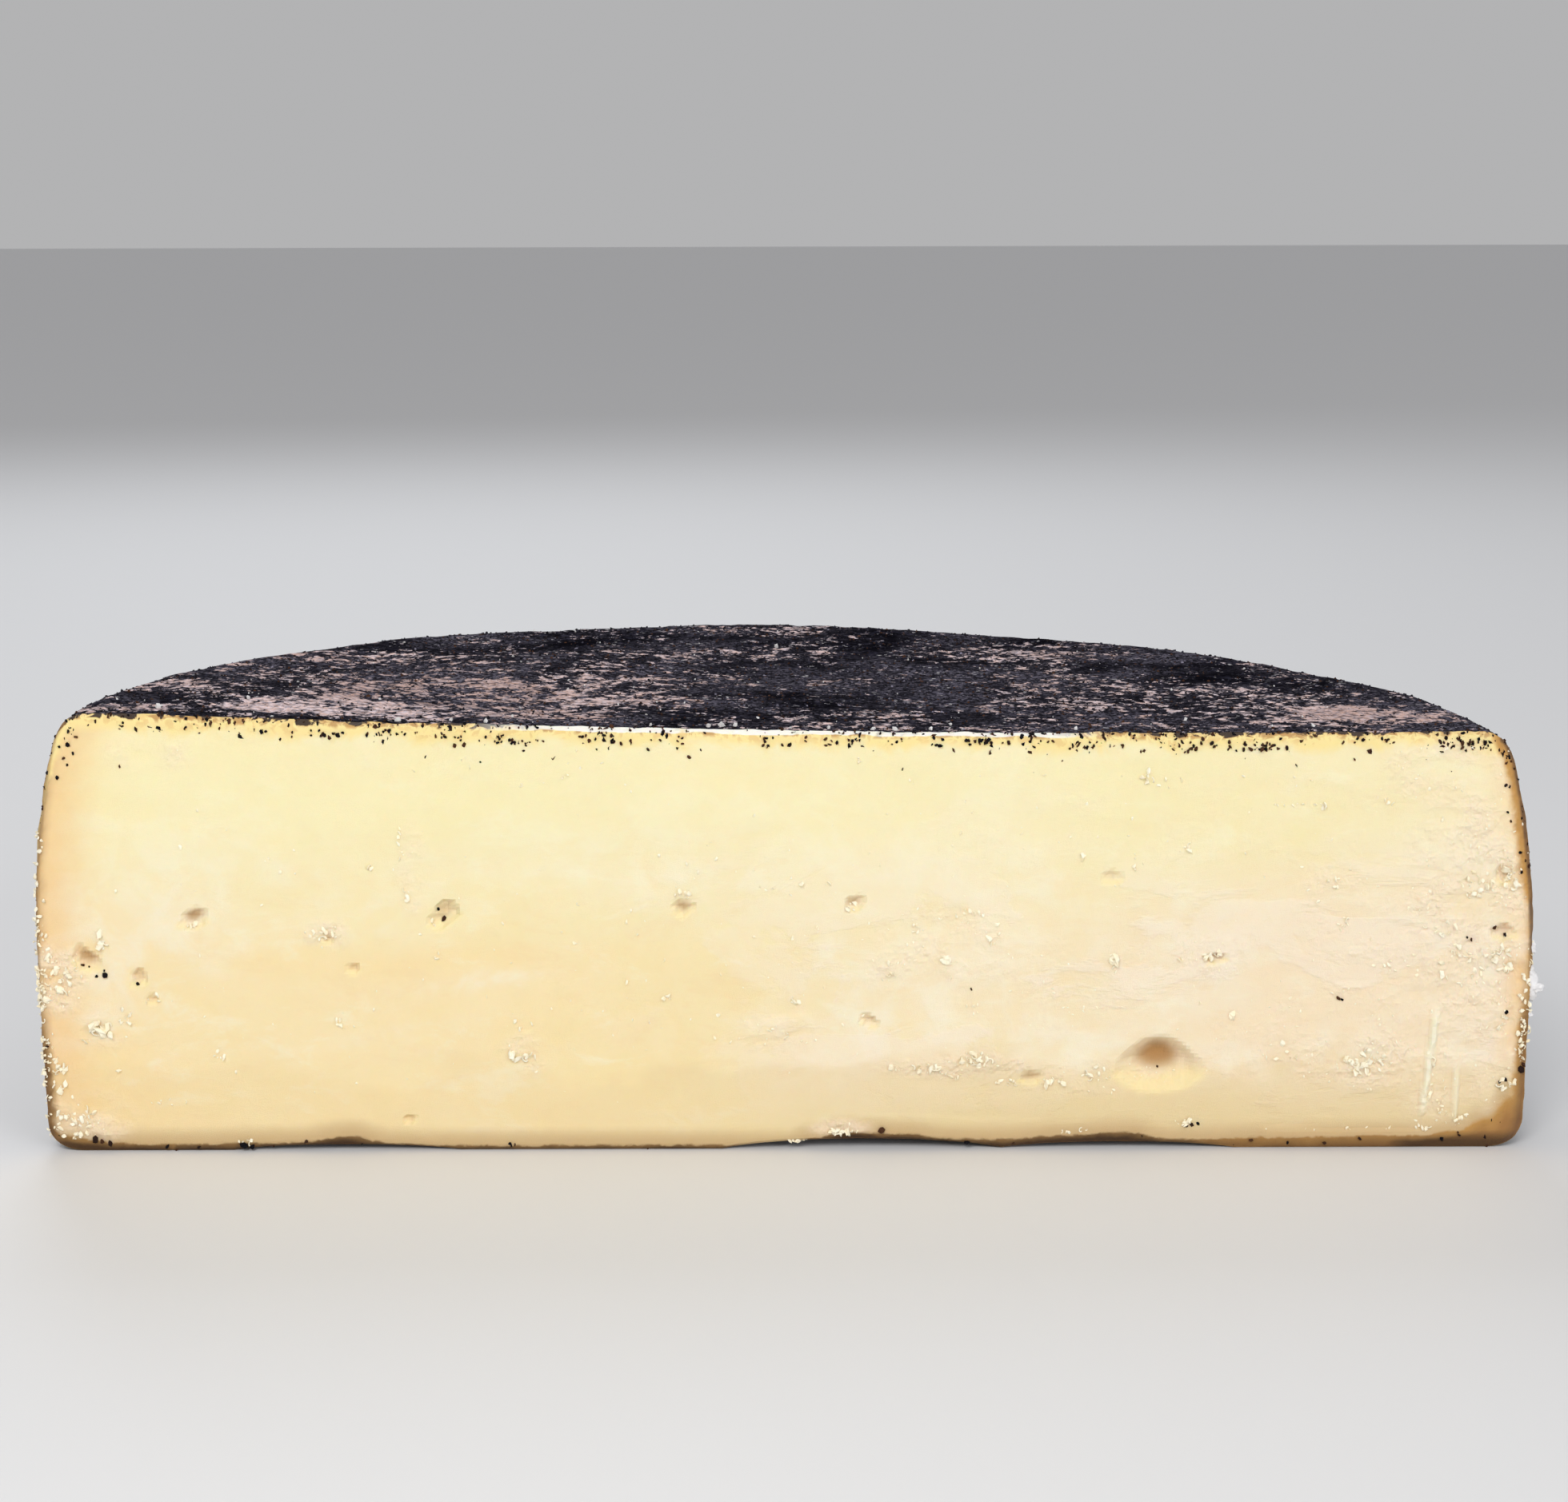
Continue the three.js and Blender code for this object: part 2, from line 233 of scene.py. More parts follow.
class RubLook(bpy.types.PropertyGroup):
    """Colours and sizes of the dry rub on the rind."""

    soot: bpy.props.FloatVectorProperty(
        name="Soot", description="Darkest grains", subtype="COLOR", size=3,
        default=(0.005, 0.0046, 0.007))
    slate: bpy.props.FloatVectorProperty(
        name="Slate", description="Dusty grey grains", subtype="COLOR", size=3,
        default=(0.030, 0.029, 0.046))
    bloom: bpy.props.FloatVectorProperty(
        name="Bloom", description="Blue-grey dusty bloom", subtype="COLOR", size=3,
        default=(0.26, 0.24, 0.31))
    clay: bpy.props.FloatVectorProperty(
        name="Clay", description="Bare rind between the grains", subtype="COLOR", size=3,
        default=(0.80, 0.55, 0.48))
    pale_clay: bpy.props.FloatVectorProperty(
        name="Pale Clay", description="Dusted bare rind", subtype="COLOR", size=3,
        default=(0.95, 0.82, 0.89))
    dust: bpy.props.FloatVectorProperty(
        name="Dust", description="Pale dust and salt on the rub", subtype="COLOR", size=3,
        default=(0.50, 0.48, 0.50))
    grain: bpy.props.FloatProperty(
        name="Grain Size", description="Length of a coarse grain", default=0.0011,
        unit="LENGTH", precision=5)
    top_count: bpy.props.IntProperty(
        name="Top Grains", description="Coarse grains on the top", default=7500)
    side_count: bpy.props.IntProperty(
        name="Side Grains", description="Coarse grains on the side", default=7500)
    seed: bpy.props.IntProperty(name="Seed", description="Seed of everything strewn", default=7)


class StageLook(bpy.types.PropertyGroup):
    """The camera, the lights and the floor."""

    distance: bpy.props.FloatProperty(
        name="Camera Distance", description="From the camera to the cut", default=0.65,
        unit="LENGTH")
    aim: bpy.props.FloatProperty(
        name="Aim Height", description="Height that the camera looks at", default=0.093,
        unit="LENGTH", precision=4)
    pitch: bpy.props.FloatProperty(
        name="Pitch", description="How far the camera looks down", default=math.radians(10.35),
        unit="ROTATION", subtype="ANGLE")
    roll: bpy.props.FloatProperty(
        name="Roll", description="How far the camera leans", default=math.radians(0.157),
        unit="ROTATION", subtype="ANGLE")
    lens: bpy.props.FloatProperty(
        name="Lens", description="Focal length on a 36 mm sensor", default=66.48, unit="CAMERA")
    floor: bpy.props.FloatVectorProperty(
        name="Floor", description="Colour of the floor", subtype="COLOR", size=3,
        default=(0.70, 0.70, 0.71))


# ---------------------------------------------------------------- shared helpers


def smooth(value, low, high):
    """Rises softly from 0 at low to 1 at high; also falls, if low is above high."""
    t = np.clip((value - low) / (high - low), 0, 1)
    return t * t * (3 - 2 * t)


def near(value, middle, far, close):
    """1 within close of the middle, falling softly to 0 at far from it."""
    return smooth(np.abs(value - middle), far, close)


def clouds(places, lump, octaves=3, shift=0.0):
    """Soft noise of about -1 to 1 at each place, with lumps of the given size."""
    offset = Vector((shift, 1.7 * shift, 2.9 * shift))
    return np.array([noise.fractal(Vector(p) / lump + offset, 0.9, 2.1, octaves)
                     for p in places])


def oval(x, y, centre_x, centre_y, half_x, half_y):
    """Squared distance from a centre, where 1 is an oval with those half sizes."""
    return ((x - centre_x) / half_x) ** 2 + ((y - centre_y) / half_y) ** 2


def to_frame(places):
    """Wheel coordinates in millimetres to the frame's metres."""
    return places * MM + np.array([0.0, NODE_LOW.y, NODE_LOW.z])


def new_object(name, mesh, *materials):
    """Links a mesh to the scene as an object with these materials."""
    for material in materials:
        mesh.materials.append(material)
    piece = bpy.data.objects.new(name, mesh)
    bpy.context.scene.collection.objects.link(piece)
    return piece


def finish_piece(piece):
    """Hangs a piece on the body and hides the frame's part that it stands for."""
    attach(piece, BODY)
    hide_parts(NODE)


# ---------------------------------------------------------------- the wheel's shape


ARC_STEPS = 48


def bend(start, corner, end, steps=ARC_STEPS):
    """Points of one rounded stretch of the outline, after its first."""
    t = np.linspace(0, 1, steps + 1)[1:, None]
    start, corner, end = (np.array(p, float) for p in (start, corner, end))
    return (1 - t) ** 2 * start + 2 * t * (1 - t) * corner + t * t * end


class Wheel:
    """The half wheel's surface as formulas, in millimetres."""

    def __init__(self, shape):
        self.radius = radius = shape.radius / MM
        self.drift = shape.drift / MM
        width, height, inset = (v / MM for v in shape.shoulder)
        foot_width, foot_height, foot_inset = (v / MM for v in shape.foot)
        flat_top = radius - inset - width
        self.rim = rim = (NODE_HIGH.z - NODE_LOW.z) / MM - self.drift * flat_top / (2 * radius)
        self.dish = shape.dish / MM
        belly = (radius, shape.belly / MM)
        side_top = rim - height
        side_middle = (belly[1] + side_top) / 2
        lean = inset / (side_top - side_middle)
        foot_end = (radius - foot_inset, foot_height)
        foot = bend((radius - foot_inset - foot_width, 0), (radius - foot_inset, 0), foot_end)
        shoulder_start = (radius - inset, side_top)
        corner = (radius - inset - lean * height, rim)
        shoulder = bend(shoulder_start, corner, (flat_top, rim))
        half = len(foot) // 2
        self.side = np.vstack([
            foot[half:],
            bend(foot_end, (radius, (foot_height + belly[1]) / 2), belly),
            bend(belly, (radius, side_middle), shoulder_start),
            shoulder[:half + 1],
        ])
        steps = np.linalg.norm(np.diff(self.side, axis=0), axis=1)
        self.run = np.concatenate([[0], np.cumsum(steps)]) / steps.sum()
        dish = bend((flat_top, rim), (flat_top / 2, rim - self.dish), (0, rim - self.dish))
        self.top = np.vstack([shoulder[half:], dish])[::-1]
        self.base = np.vstack([[(0, 0)], foot[:half + 1]])

    def side_at(self, up):
        """Radius and height of the side, from 0 at the foot to 1 at the shoulder."""
        return (np.interp(up, self.run, self.side[:, 0]),
                np.interp(up, self.run, self.side[:, 1]))

    def top_at(self, reach):
        return np.interp(reach, self.top[:, 0], self.top[:, 1])

    def base_at(self, reach):
        return np.interp(reach, self.base[:, 0], self.base[:, 1])

    def hollow_at(self, x, y):
        """Height of the hollows under the cut's lower edge."""
        rise = np.zeros_like(x)
        for middle, width, height, back in BASE_HOLLOWS:
            inside = np.clip(1 - oval(x, y, middle, 0, width / 2, back), 0, 1)
            rise = np.maximum(rise, height * inside ** 0.7)
        return rise

    def settle(self, places):
        """Turned shape to pressed shape: out of round, thicker at the left, waves on top."""
        x, y, z = places.T
        turn = np.arctan2(y, x)
        reach = np.hypot(x, y) / self.radius
        spread = 1 + 1.2 / self.radius * reach * np.sin(3 * turn)
        thicker = 1 - self.drift / self.rim * x / (2 * self.radius)
        wave = np.cos(2 * np.pi * x / 120) * np.sin(2 * np.pi * y / 120)
        height = z * thicker + 0.5 * (z / self.rim) ** 2 * wave
        return np.stack([x * spread, y * spread, height], axis=1)

    def rim_gaps(self, x, z):
        """Distances in the cut from the top, the nearer end and the base."""
        tilt = 1 - self.drift / self.rim * x / (2 * self.radius)
        reach = np.abs(x)
        turned = z / tilt
        top_radius = self.top[-1, 0]
        ends = np.interp(turned, self.side[:, 1], self.side[:, 0]) - reach
        upper = self.side[::-1][:ARC_STEPS + 1]
        beyond = np.interp(reach, upper[:, 0], upper[:, 1])
        above = np.where(reach > top_radius, beyond, self.top_at(reach)) - turned
        return above, ends, turned - self.base_at(reach) - self.hollow_at(x, x * 0)


CORNER_TURN = math.radians(50)  # where the sheet's rear corners land on the round side
END_CROWDING = 0.95  # how much closer the columns stand at the two ends of the cut


def crowd(across):
    return np.sin(across * END_CROWDING) / math.sin(END_CROWDING)


def half_disc(across, back):
    """Lays a flat sheet, across -1 to 1 and back 0 to 1, on the unit half disc."""
    u, b = ((across + 1) / 2)[:, None], back[:, None]

    def ring(angle):
        return np.stack([np.cos(angle), np.sin(angle)], axis=1)

    front = np.stack([crowd(across), 0 * across], axis=1)
    rear = ring(math.pi - CORNER_TURN - (math.pi - 2 * CORNER_TURN) * u[:, 0])
    left, right = ring(math.pi - CORNER_TURN * back), ring(CORNER_TURN * back)
    rear_left, rear_right = ring(np.array([math.pi - CORNER_TURN])), ring(np.array([CORNER_TURN]))
    corners = (1 - b) * ((1 - u) * [[-1, 0]] + u * [[1, 0]]) + b * ((1 - u) * rear_left
                                                                   + u * rear_right)
    return (1 - b) * front + b * rear + (1 - u) * left + u * right - corners


def rind_places(wheel, across, back, up):
    """Places on the top, the base or the round side, before they settle."""
    flat = half_disc(across, back)
    radius, height = wheel.side_at(up)
    reach = np.minimum(np.hypot(*flat.T), 1)
    height = np.where(up == 1, wheel.top_at(reach * radius), height)
    height = np.where(up == 0, wheel.base_at(reach * radius), height)
    places = wheel.settle(np.column_stack([flat * radius[:, None], height]))
    lifted = np.where(up == 0, wheel.hollow_at(places[:, 0], places[:, 1]), 0)
    places[:, 2] += lifted * (up == 0)
    return places


def cut_places(wheel, across, up):
    """Places on the flat cut, fitted between the rind's four edges."""
    radius, height = wheel.side_at(up)
    share = crowd(across)
    (low_radius, low), (high_radius, high) = wheel.side_at(0), wheel.side_at(1)
    over = wheel.top_at(np.abs(share) * high_radius) - high
    under = wheel.base_at(np.abs(share) * low_radius) - low
    places = np.column_stack([share * radius, 0 * share, height + up * over + (1 - up) * under])
    places = wheel.settle(places)
    places[:, 2] += (1 - up) * wheel.hollow_at(places[:, 0], 0 * up)
    return places


NEAR_RINGS = (0.004, 0.009)  # how far back the fine rings behind the cut stand
COARSE_START = 0.016


def round_loop(columns, rows):
    """Grid corners round the edge of the cut, counter-clockwise from the lower left."""
    bottom = [(i, 0) for i in range(columns)]
    right = [(columns, k) for k in range(rows)]
    top = [(i, rows) for i in range(columns, 0, -1)]
    left = [(0, k) for k in range(rows, 0, -1)]
    return np.array(bottom + right + top + left)


def wheel_mesh(wheel, cells):
    """The closed half wheel. Returns its places, faces, each face's part and the cut's mask."""
    nx, ny, nz = cells
    fine_across, fine_up = np.linspace(-1, 1, 2 * nx + 1), np.linspace(0, 1, 2 * nz + 1)
    loop = round_loop(2 * nx, 2 * nz)
    # the cut: a fine grid
    i, k = (g.ravel() for g in np.meshgrid(range(2 * nx + 1), range(2 * nz + 1), indexing="ij"))
    places = [cut_places(wheel, fine_across[i], fine_up[k])]
    cut = np.arange(len(i)).reshape(2 * nx + 1, 2 * nz + 1)
    count = len(i)
    # fine rings just behind it
    rings = [cut[loop[:, 0], loop[:, 1]]]
    for back in NEAR_RINGS:
        across, up = fine_across[loop[:, 0]], fine_up[loop[:, 1]]
        places.append(rind_places(wheel, across, 0 * across + back, up))
        rings.append(np.arange(count, count + len(loop)))
        count += len(loop)
    # the rest of the rind: the outer cells of a coarser block
    i, j, k = np.meshgrid(range(nx + 1), range(ny + 1), range(nz + 1), indexing="ij")
    outer = (k == 0) | (k == nz) | (i == 0) | (i == nx) | (j == ny)
    index = np.full(outer.shape, -1)
    index[outer] = np.arange(count, count + outer.sum())
    back = np.linspace(COARSE_START, 1, ny + 1)
    places.append(rind_places(wheel, fine_across[::2][i[outer]], back[j[outer]],
                              fine_up[::2][k[outer]]))
    faces, parts = [], []

    def quads(a, b, c, d, part):
        made = np.stack([v.ravel() for v in (a, b, c, d)], axis=1)
        faces.extend(made.tolist())
        parts.extend([part] * len(made))

    def sheet(grid, part):
        quads(grid[:-1, :-1], grid[1:, :-1], grid[1:, 1:], grid[:-1, 1:], part)

    sheet(cut, "cut")
    for near, far in zip(rings, rings[1:]):
        quads(near, far, np.roll(far, -1), np.roll(near, -1), "edge")
    fine, coarse_at = rings[-1], loop[::2] // 2
    coarse = index[coarse_at[:, 0], 0, coarse_at[:, 1]]
    for s, (here, there) in enumerate(zip(coarse, np.roll(coarse, -1))):
        first, middle, last = fine[2 * s], fine[2 * s + 1], fine[(2 * s + 2) % len(fine)]
        faces.extend([[first, here, middle], [middle, here, there], [middle, there, last]])
        parts.extend(["edge"] * 3)
    sheet(index[:, :, nz], "top")
    sheet(index[:, :, 0].T, "base")
    sheet(index[0].T, "side")
    sheet(index[nx], "side")
    sheet(index[:, ny].T, "side")
    places = np.vstack(places)
    on_cut = np.arange(len(places)) < cut.size
    on_rim = np.zeros(len(places), bool)
    on_rim[rings[0]] = True
    return places, faces, np.array(parts), on_cut, on_rim


# ---------------------------------------------------------------- relief


def torn_patches(x, z):
    """How much the cut has torn or crumbled, from 0 to 1."""
    torn = np.zeros_like(x)
    for centre_x, centre_z, half_x, half_z, strength in TORN:
        patch = strength * smooth(oval(x, z, centre_x, centre_z, half_x, half_z), 1.4, 0.1)
        torn = np.maximum(torn, patch)
    return torn


def eye_pits(x, z, ragged):
    """Depth of the eyes, the painted shade inside them and the painted highlight on the lip under them.
    """
    depth, eye_shade, lip = np.zeros_like(x), np.zeros_like(x), np.zeros_like(x)
    for eye in EYES:
        slant = eye.get("slant", 0)
        rise = (z - eye["z"] - slant * (x - eye["x"])) / (eye["height"] / 2)
        half_width = eye["width"] / 2 * (1 - eye["taper"] * np.clip(rise, -0.4, 1))
        aside = (x - eye["x"]) / half_width
        roughness = np.interp(eye["width"], (6, 16), (0.65, 0.1))
        spread = aside ** 2 + rise ** 2 + roughness * ragged
        inside = smooth(spread, 1.15, 0.0)
        depth = np.maximum(depth, eye["depth"] * inside * (1 + 0.25 * np.clip(rise, -1, 1)))
        # The painted shade is darkest in the upper part of each eye, under its overhanging wall
        core = smooth(1.9 * aside ** 2 + 1.9 * (rise - 0.26) ** 2, 0.85, 0.05)
        halo = smooth(spread, 1.0, 0.1) * smooth(rise, -0.5, 0.3)
        eye_shade = np.maximum(eye_shade, eye["eye_shade"] * (0.74 * core + 0.26 * halo))
        # Painted highlight on the lower lip of each eye, whose slope faces the light
        rim = smooth(spread, 1.5, 0.9) * smooth(spread, 0.05, 0.5)
        lip = np.maximum(lip, rim * smooth(rise, 0.1, -0.5))
    return depth, eye_shade, lip


def foot_height(x, ragged):
    """Height of the dried strip along the foot of the cut."""
    line = np.array(FOOT_EDGE, float)
    at = np.interp(x, line[:, 0], np.arange(len(line)))
    first = np.minimum(at.astype(int), len(line) - 2)
    height = line[first, 1] + (line[first + 1, 1] - line[first, 1]) * smooth(at - first, 0, 1)
    return height + 0.16 * ragged


FOOT_SPAN = 175.0  # half the stretch along which the foot line's slope is worked out
FOOT_STEP = 0.5
STRIP_DEPTH = 0.9  # how far the dried strip stands behind the fresh cut


def cut_relief(wheel, places):
    """Shapes the cut. Returns how far it stands out, and what its material reads."""
    x, z = places[:, 0], places[:, 2]
    above, ends, below = wheel.rim_gaps(x, z)
    edge = np.minimum(np.minimum(above, ends), below)
    ragged = clouds(places, 2.4, 3, 3.1)
    lumps = clouds(places * [0.6, 1, 1.3], 3.6, 4, 11.3)
    slow = clouds(places * [0.6, 1, 1.2], 40, 3, 5.5)
    torn = torn_patches(x, z)
    torn = np.clip(torn * (0.7 + 1.1 * clouds(places * [0.7, 1, 1.2], 7, 3, 8.8)), 0, 1)
    depth, eye_shade, lip = eye_pits(x, z, ragged)
    height = foot_height(x, ragged)
    along = np.linspace(-FOOT_SPAN, FOOT_SPAN, round(2 * FOOT_SPAN / FOOT_STEP) + 1)
    slope = np.abs(np.gradient(foot_height(along, 0), FOOT_STEP))
    slope = np.interp(x, along, slope)
    foot_gap = (z - height) / np.sqrt(1 + np.minimum(slope, 2) ** 2)
    right = smooth(x, 20, 60)
    left_strip = 0.2 + 0.2 * ragged + (1.9 + 0.5 * ragged) * smooth(z, 34, 20)
    right_strip = 2.8 + 0.5 * ragged - 2.0 * near(z, 46, 20, 8)
    side_strip = right * right_strip + (1 - right) * left_strip
    dried_gap = np.minimum(foot_gap, ends - side_strip)
    ripples = clouds(places * [1.3, 1, 0.8], 5.2, 4, 21.0)
    out = 0.25 * slow + torn * (0.7 * np.abs(lumps) + 0.3 * ragged) - depth
    out += 0.42 * ripples * smooth(x, 130, 150) * near(z, 46, 38, 20)
    # the dried strip is rounded off behind the fresh cut
    out += STRIP_DEPTH * smooth(dried_gap, -2.6, 0.5) - STRIP_DEPTH
    # a torn shelf under the middle
    shelf = smooth(z - 19 - 1.6 * ragged, -0.8, 0.8) * near(x, 42, 24, 14)
    out += 0.5 * shelf * smooth(z, 56, 22)
    # a slanting smear left of the shelf
    out += 0.4 * smooth(oval(x - 1.6 * (z - 29), z, -2, 29, 7, 4), 1, 0)
    # two ridges that the knife drew up near the right end
    drawn = np.abs(x - 147.3 - 0.1 * (z - 20) - 0.15 * ragged)
    ridge = smooth(drawn, 1.3, 0.2) * near(z, 20.5, 14, 9) * (0.8 + 0.3 * ragged)
    ridge = np.maximum(ridge, 0.6 * near(x, 153.6, 0.8, 0.1) * near(z, 13, 8, 4))
    out += 1.2 * ridge
    # a groove to the right of the ridges
    out -= 0.4 * smooth(np.abs(x - 164.5 + 0.05 * (z - 40)), 1.6, 0) * near(z, 39, 14, 8)
    # steps that the knife left low on the cut
    out += 0.5 * smooth(z - 5 + 0.024 * (x - 109), 0.4, -0.4) * near(x, 128, 20, 17)
    out += 0.12 * smooth(z - 8.6 + 0.04 * (x - 15), 0.4, -0.4) * near(x, 52, 42, 34)
    fade = smooth(edge, 0.0, 0.8)
    masks = dict(torn=torn, eye_shade=eye_shade, lip=lip, above=above, ends=ends, foot_gap=foot_gap,
                 dried_gap=dried_gap, ragged=ragged, ridge=np.clip(ridge, 0, 1))
    return (out + STRIP_DEPTH) * fade, masks


def worn_patches(places):
    """How far the rub has worn off the top, from 0 to 1."""
    x, y = places[:, 0], places[:, 1]
    worn = np.zeros_like(x)
    for centre_x, centre_y, half_x, half_y, strength in WORN:
        patch = strength * smooth(oval(x, y, centre_x, centre_y, half_x, half_y), 1.5, 0.1)
        worn = np.maximum(worn, patch)
    return worn


# ---------------------------------------------------------------- materials


class Graph:
    """Adds nodes to a tree. An input is a value, or the output of another node."""

    def __init__(self, tree):
        self.tree = tree

    def add(self, kind, inputs=None, **settings):
        node = self.tree.nodes.new(kind)
        for name, value in settings.items():
            setattr(node, name, value)
        for name, value in (inputs or {}).items():
            self.put(node.inputs[name], value)
        return node

    def put(self, socket, value):
        if isinstance(value, bpy.types.NodeSocket):
            self.tree.links.new(value, socket)
        elif socket.type == "RGBA" and len(value) == 3:
            socket.default_value = (*value, 1)
        else:
            socket.default_value = value

    def math(self, operation, *values):
        node = self.add("ShaderNodeMath", dict(enumerate(values)), operation=operation)
        return node.outputs[0]

    def mix(self, factor, a, b):
        node = self.add("ShaderNodeMix", data_type="RGBA")
        for socket, value in zip((0, 6, 7), (factor, a, b)):
            self.put(node.inputs[socket], value)
        return node.outputs[2]

    def ramp(self, value, low, high, to_low=0.0, to_high=1.0):
        """Maps low..high softly to the other two values."""
        inputs = {"Value": value, "From Min": low, "From Max": high,
                  "To Min": to_low, "To Max": to_high}
        return self.add("ShaderNodeMapRange", inputs, interpolation_type="SMOOTHSTEP").outputs[0]

    def noise(self, vector, scale, detail=2.0, roughness=0.5, distortion=0.0):
        inputs = {"Vector": vector, "Scale": scale, "Detail": detail, "Roughness": roughness,
                  "Distortion": distortion}
        return self.add("ShaderNodeTexNoise", inputs).outputs["Fac"]

    def attribute(self, name):
        return self.add("ShaderNodeAttribute", attribute_name=name).outputs["Fac"]


def group(name, inputs, outputs):
    """An empty shader node group with these named sockets; returns its graph and ends."""
    tree = bpy.data.node_groups.new(name, "ShaderNodeTree")
    kinds = {float: "NodeSocketFloat", tuple: "NodeSocketVector"}
    for label, value in inputs.items():
        socket = tree.interface.new_socket(label, in_out="INPUT", socket_type=kinds[type(value)])
        socket.default_value = value
    for label in outputs:
        tree.interface.new_socket(label, in_out="OUTPUT", socket_type="NodeSocketFloat")
    graph = Graph(tree)
    start, end = graph.add("NodeGroupInput"), graph.add("NodeGroupOutput")
    return graph, start.outputs, end.inputs


def curd_group():
    """Clouded tone and fine grain of pressed curd."""
    graph, given, result = group(
        "Curd", {"Vector": (0.0, 0.0, 0.0), "Cloud Scale": 20.0, "Knit Scale": 110.0},
        ("Cloud", "Fine"))
    cloud = graph.noise(given["Vector"], given["Cloud Scale"], 4.0, 0.55, 0.6)
    graph.put(result["Cloud"], graph.ramp(cloud, 0.36, 0.66))
    fine = graph.noise(given["Vector"], graph.math("MULTIPLY", given["Knit Scale"], 9.0), 4.0, 0.6)
    graph.put(result["Fine"], fine)
    return graph.tree


def grit_group():
    """Packed grains: each one's own tone and domed height, and the gaps between them."""
    graph, given, result = group(
        "Grit", {"Vector": (0.0, 0.0, 0.0), "Scale": 900.0}, ("Tone", "Dome", "Gap"))
    warp = graph.add("ShaderNodeTexNoise", {
        "Vector": given["Vector"], "Scale": graph.math("MULTIPLY", given["Scale"], 0.7)})
    shifted = graph.add("ShaderNodeVectorMath", {0: warp.outputs["Color"], "Scale": 0.0006},
                        operation="SCALE")
    vector = graph.add("ShaderNodeVectorMath", {0: given["Vector"], 1: shifted.outputs[0]},
                       operation="ADD").outputs[0]
    cells = graph.add("ShaderNodeTexVoronoi", {
        "Vector": vector, "Scale": given["Scale"], "Randomness": 1.0})
    tone = graph.add("ShaderNodeSeparateColor", {0: cells.outputs["Color"]}).outputs[0]
    graph.put(result["Tone"], tone)
    graph.put(result["Dome"], graph.ramp(cells.outputs["Distance"], 0.75, 0.05))
    graph.put(result["Gap"], graph.ramp(cells.outputs["Distance"], 0.45, 0.85))
    return graph.tree


def frayed_group():
    """A border drawn at a distance in millimetres, frayed by a noise."""
    graph, given, result = group(
        "Frayed Border", {"Distance": 0.0, "Noise": 0.5, "Fray": 1.0, "From": 0.0, "To": 1.0},
        ("Mask",))
    fray = graph.math("MULTIPLY", graph.math("SUBTRACT", given["Noise"], 0.5), given["Fray"])
    wander = graph.math("ADD", given["Distance"], fray)
    graph.put(result["Mask"], graph.ramp(wander, given["From"], given["To"]))
    return graph.tree


def new_material(name):
    """A material with its graph, its Principled shader and its object coordinates."""
    material = bpy.data.materials.new(name)
    material.use_nodes = True
    graph = Graph(material.node_tree)
    shader = material.node_tree.nodes["Principled BSDF"]
    coordinates = graph.add("ShaderNodeTexCoord").outputs["Object"]
    return material, graph, shader, coordinates


def use(graph, tree, **inputs):
    """Places a shader node group; underscores stand for spaces in the names."""
    named = {name.replace("_", " "): value for name, value in inputs.items()}
    node = graph.add("ShaderNodeGroup", node_tree=tree)
    for name, value in named.items():
        graph.put(node.inputs[name], value)
    return node.outputs


def bump(graph, shader, height, distance):
    node = graph.add("ShaderNodeBump", {"Height": height, "Distance": distance, "Strength": 1.0})
    graph.put(shader.inputs["Normal"], node.outputs[0])


def stretch(graph, place, scale):
    node = graph.add("ShaderNodeVectorMath", {0: place, 1: scale}, operation="MULTIPLY")
    return node.outputs[0]


# Tints laid over the paste, from its clouds to its dried edge; some are painted shade and painted
# highlights
TINTS = {
    "milky": (0.98, 0.87, 0.62), "warm": (1.0, 0.735, 0.36), "pink": (0.96, 0.775, 0.56),
    "smear": (0.98, 0.88, 0.70), "scuff": (1.0, 0.93, 0.74), "drag": (0.92, 0.69, 0.38),
    "flake": (0.99, 0.85, 0.70), "upper": (0.99, 0.90, 0.53), "amber_and_shade_at_ends": (0.90, 0.58, 0.25),
    "painted_low_shade": (0.81, 0.65, 0.36), "shade": (0.50, 0.30, 0.13), "knit": (0.85, 0.62, 0.36),
    "spots": (0.66, 0.34, 0.09), "fringe": (0.50, 0.25, 0.075), "teeth": (0.03, 0.02, 0.018),
    "line": (1.0, 0.96, 0.86), "torn": (0.97, 0.80, 0.60), "scrape": (1.0, 0.95, 0.74),
    "lip": (1.0, 0.82, 0.43), "deep": (0.062, 0.029, 0.009), "tan": (0.64, 0.35, 0.10),
    "umber": (0.25, 0.14, 0.05), "painted_end_shade": (0.085, 0.05, 0.035),
}


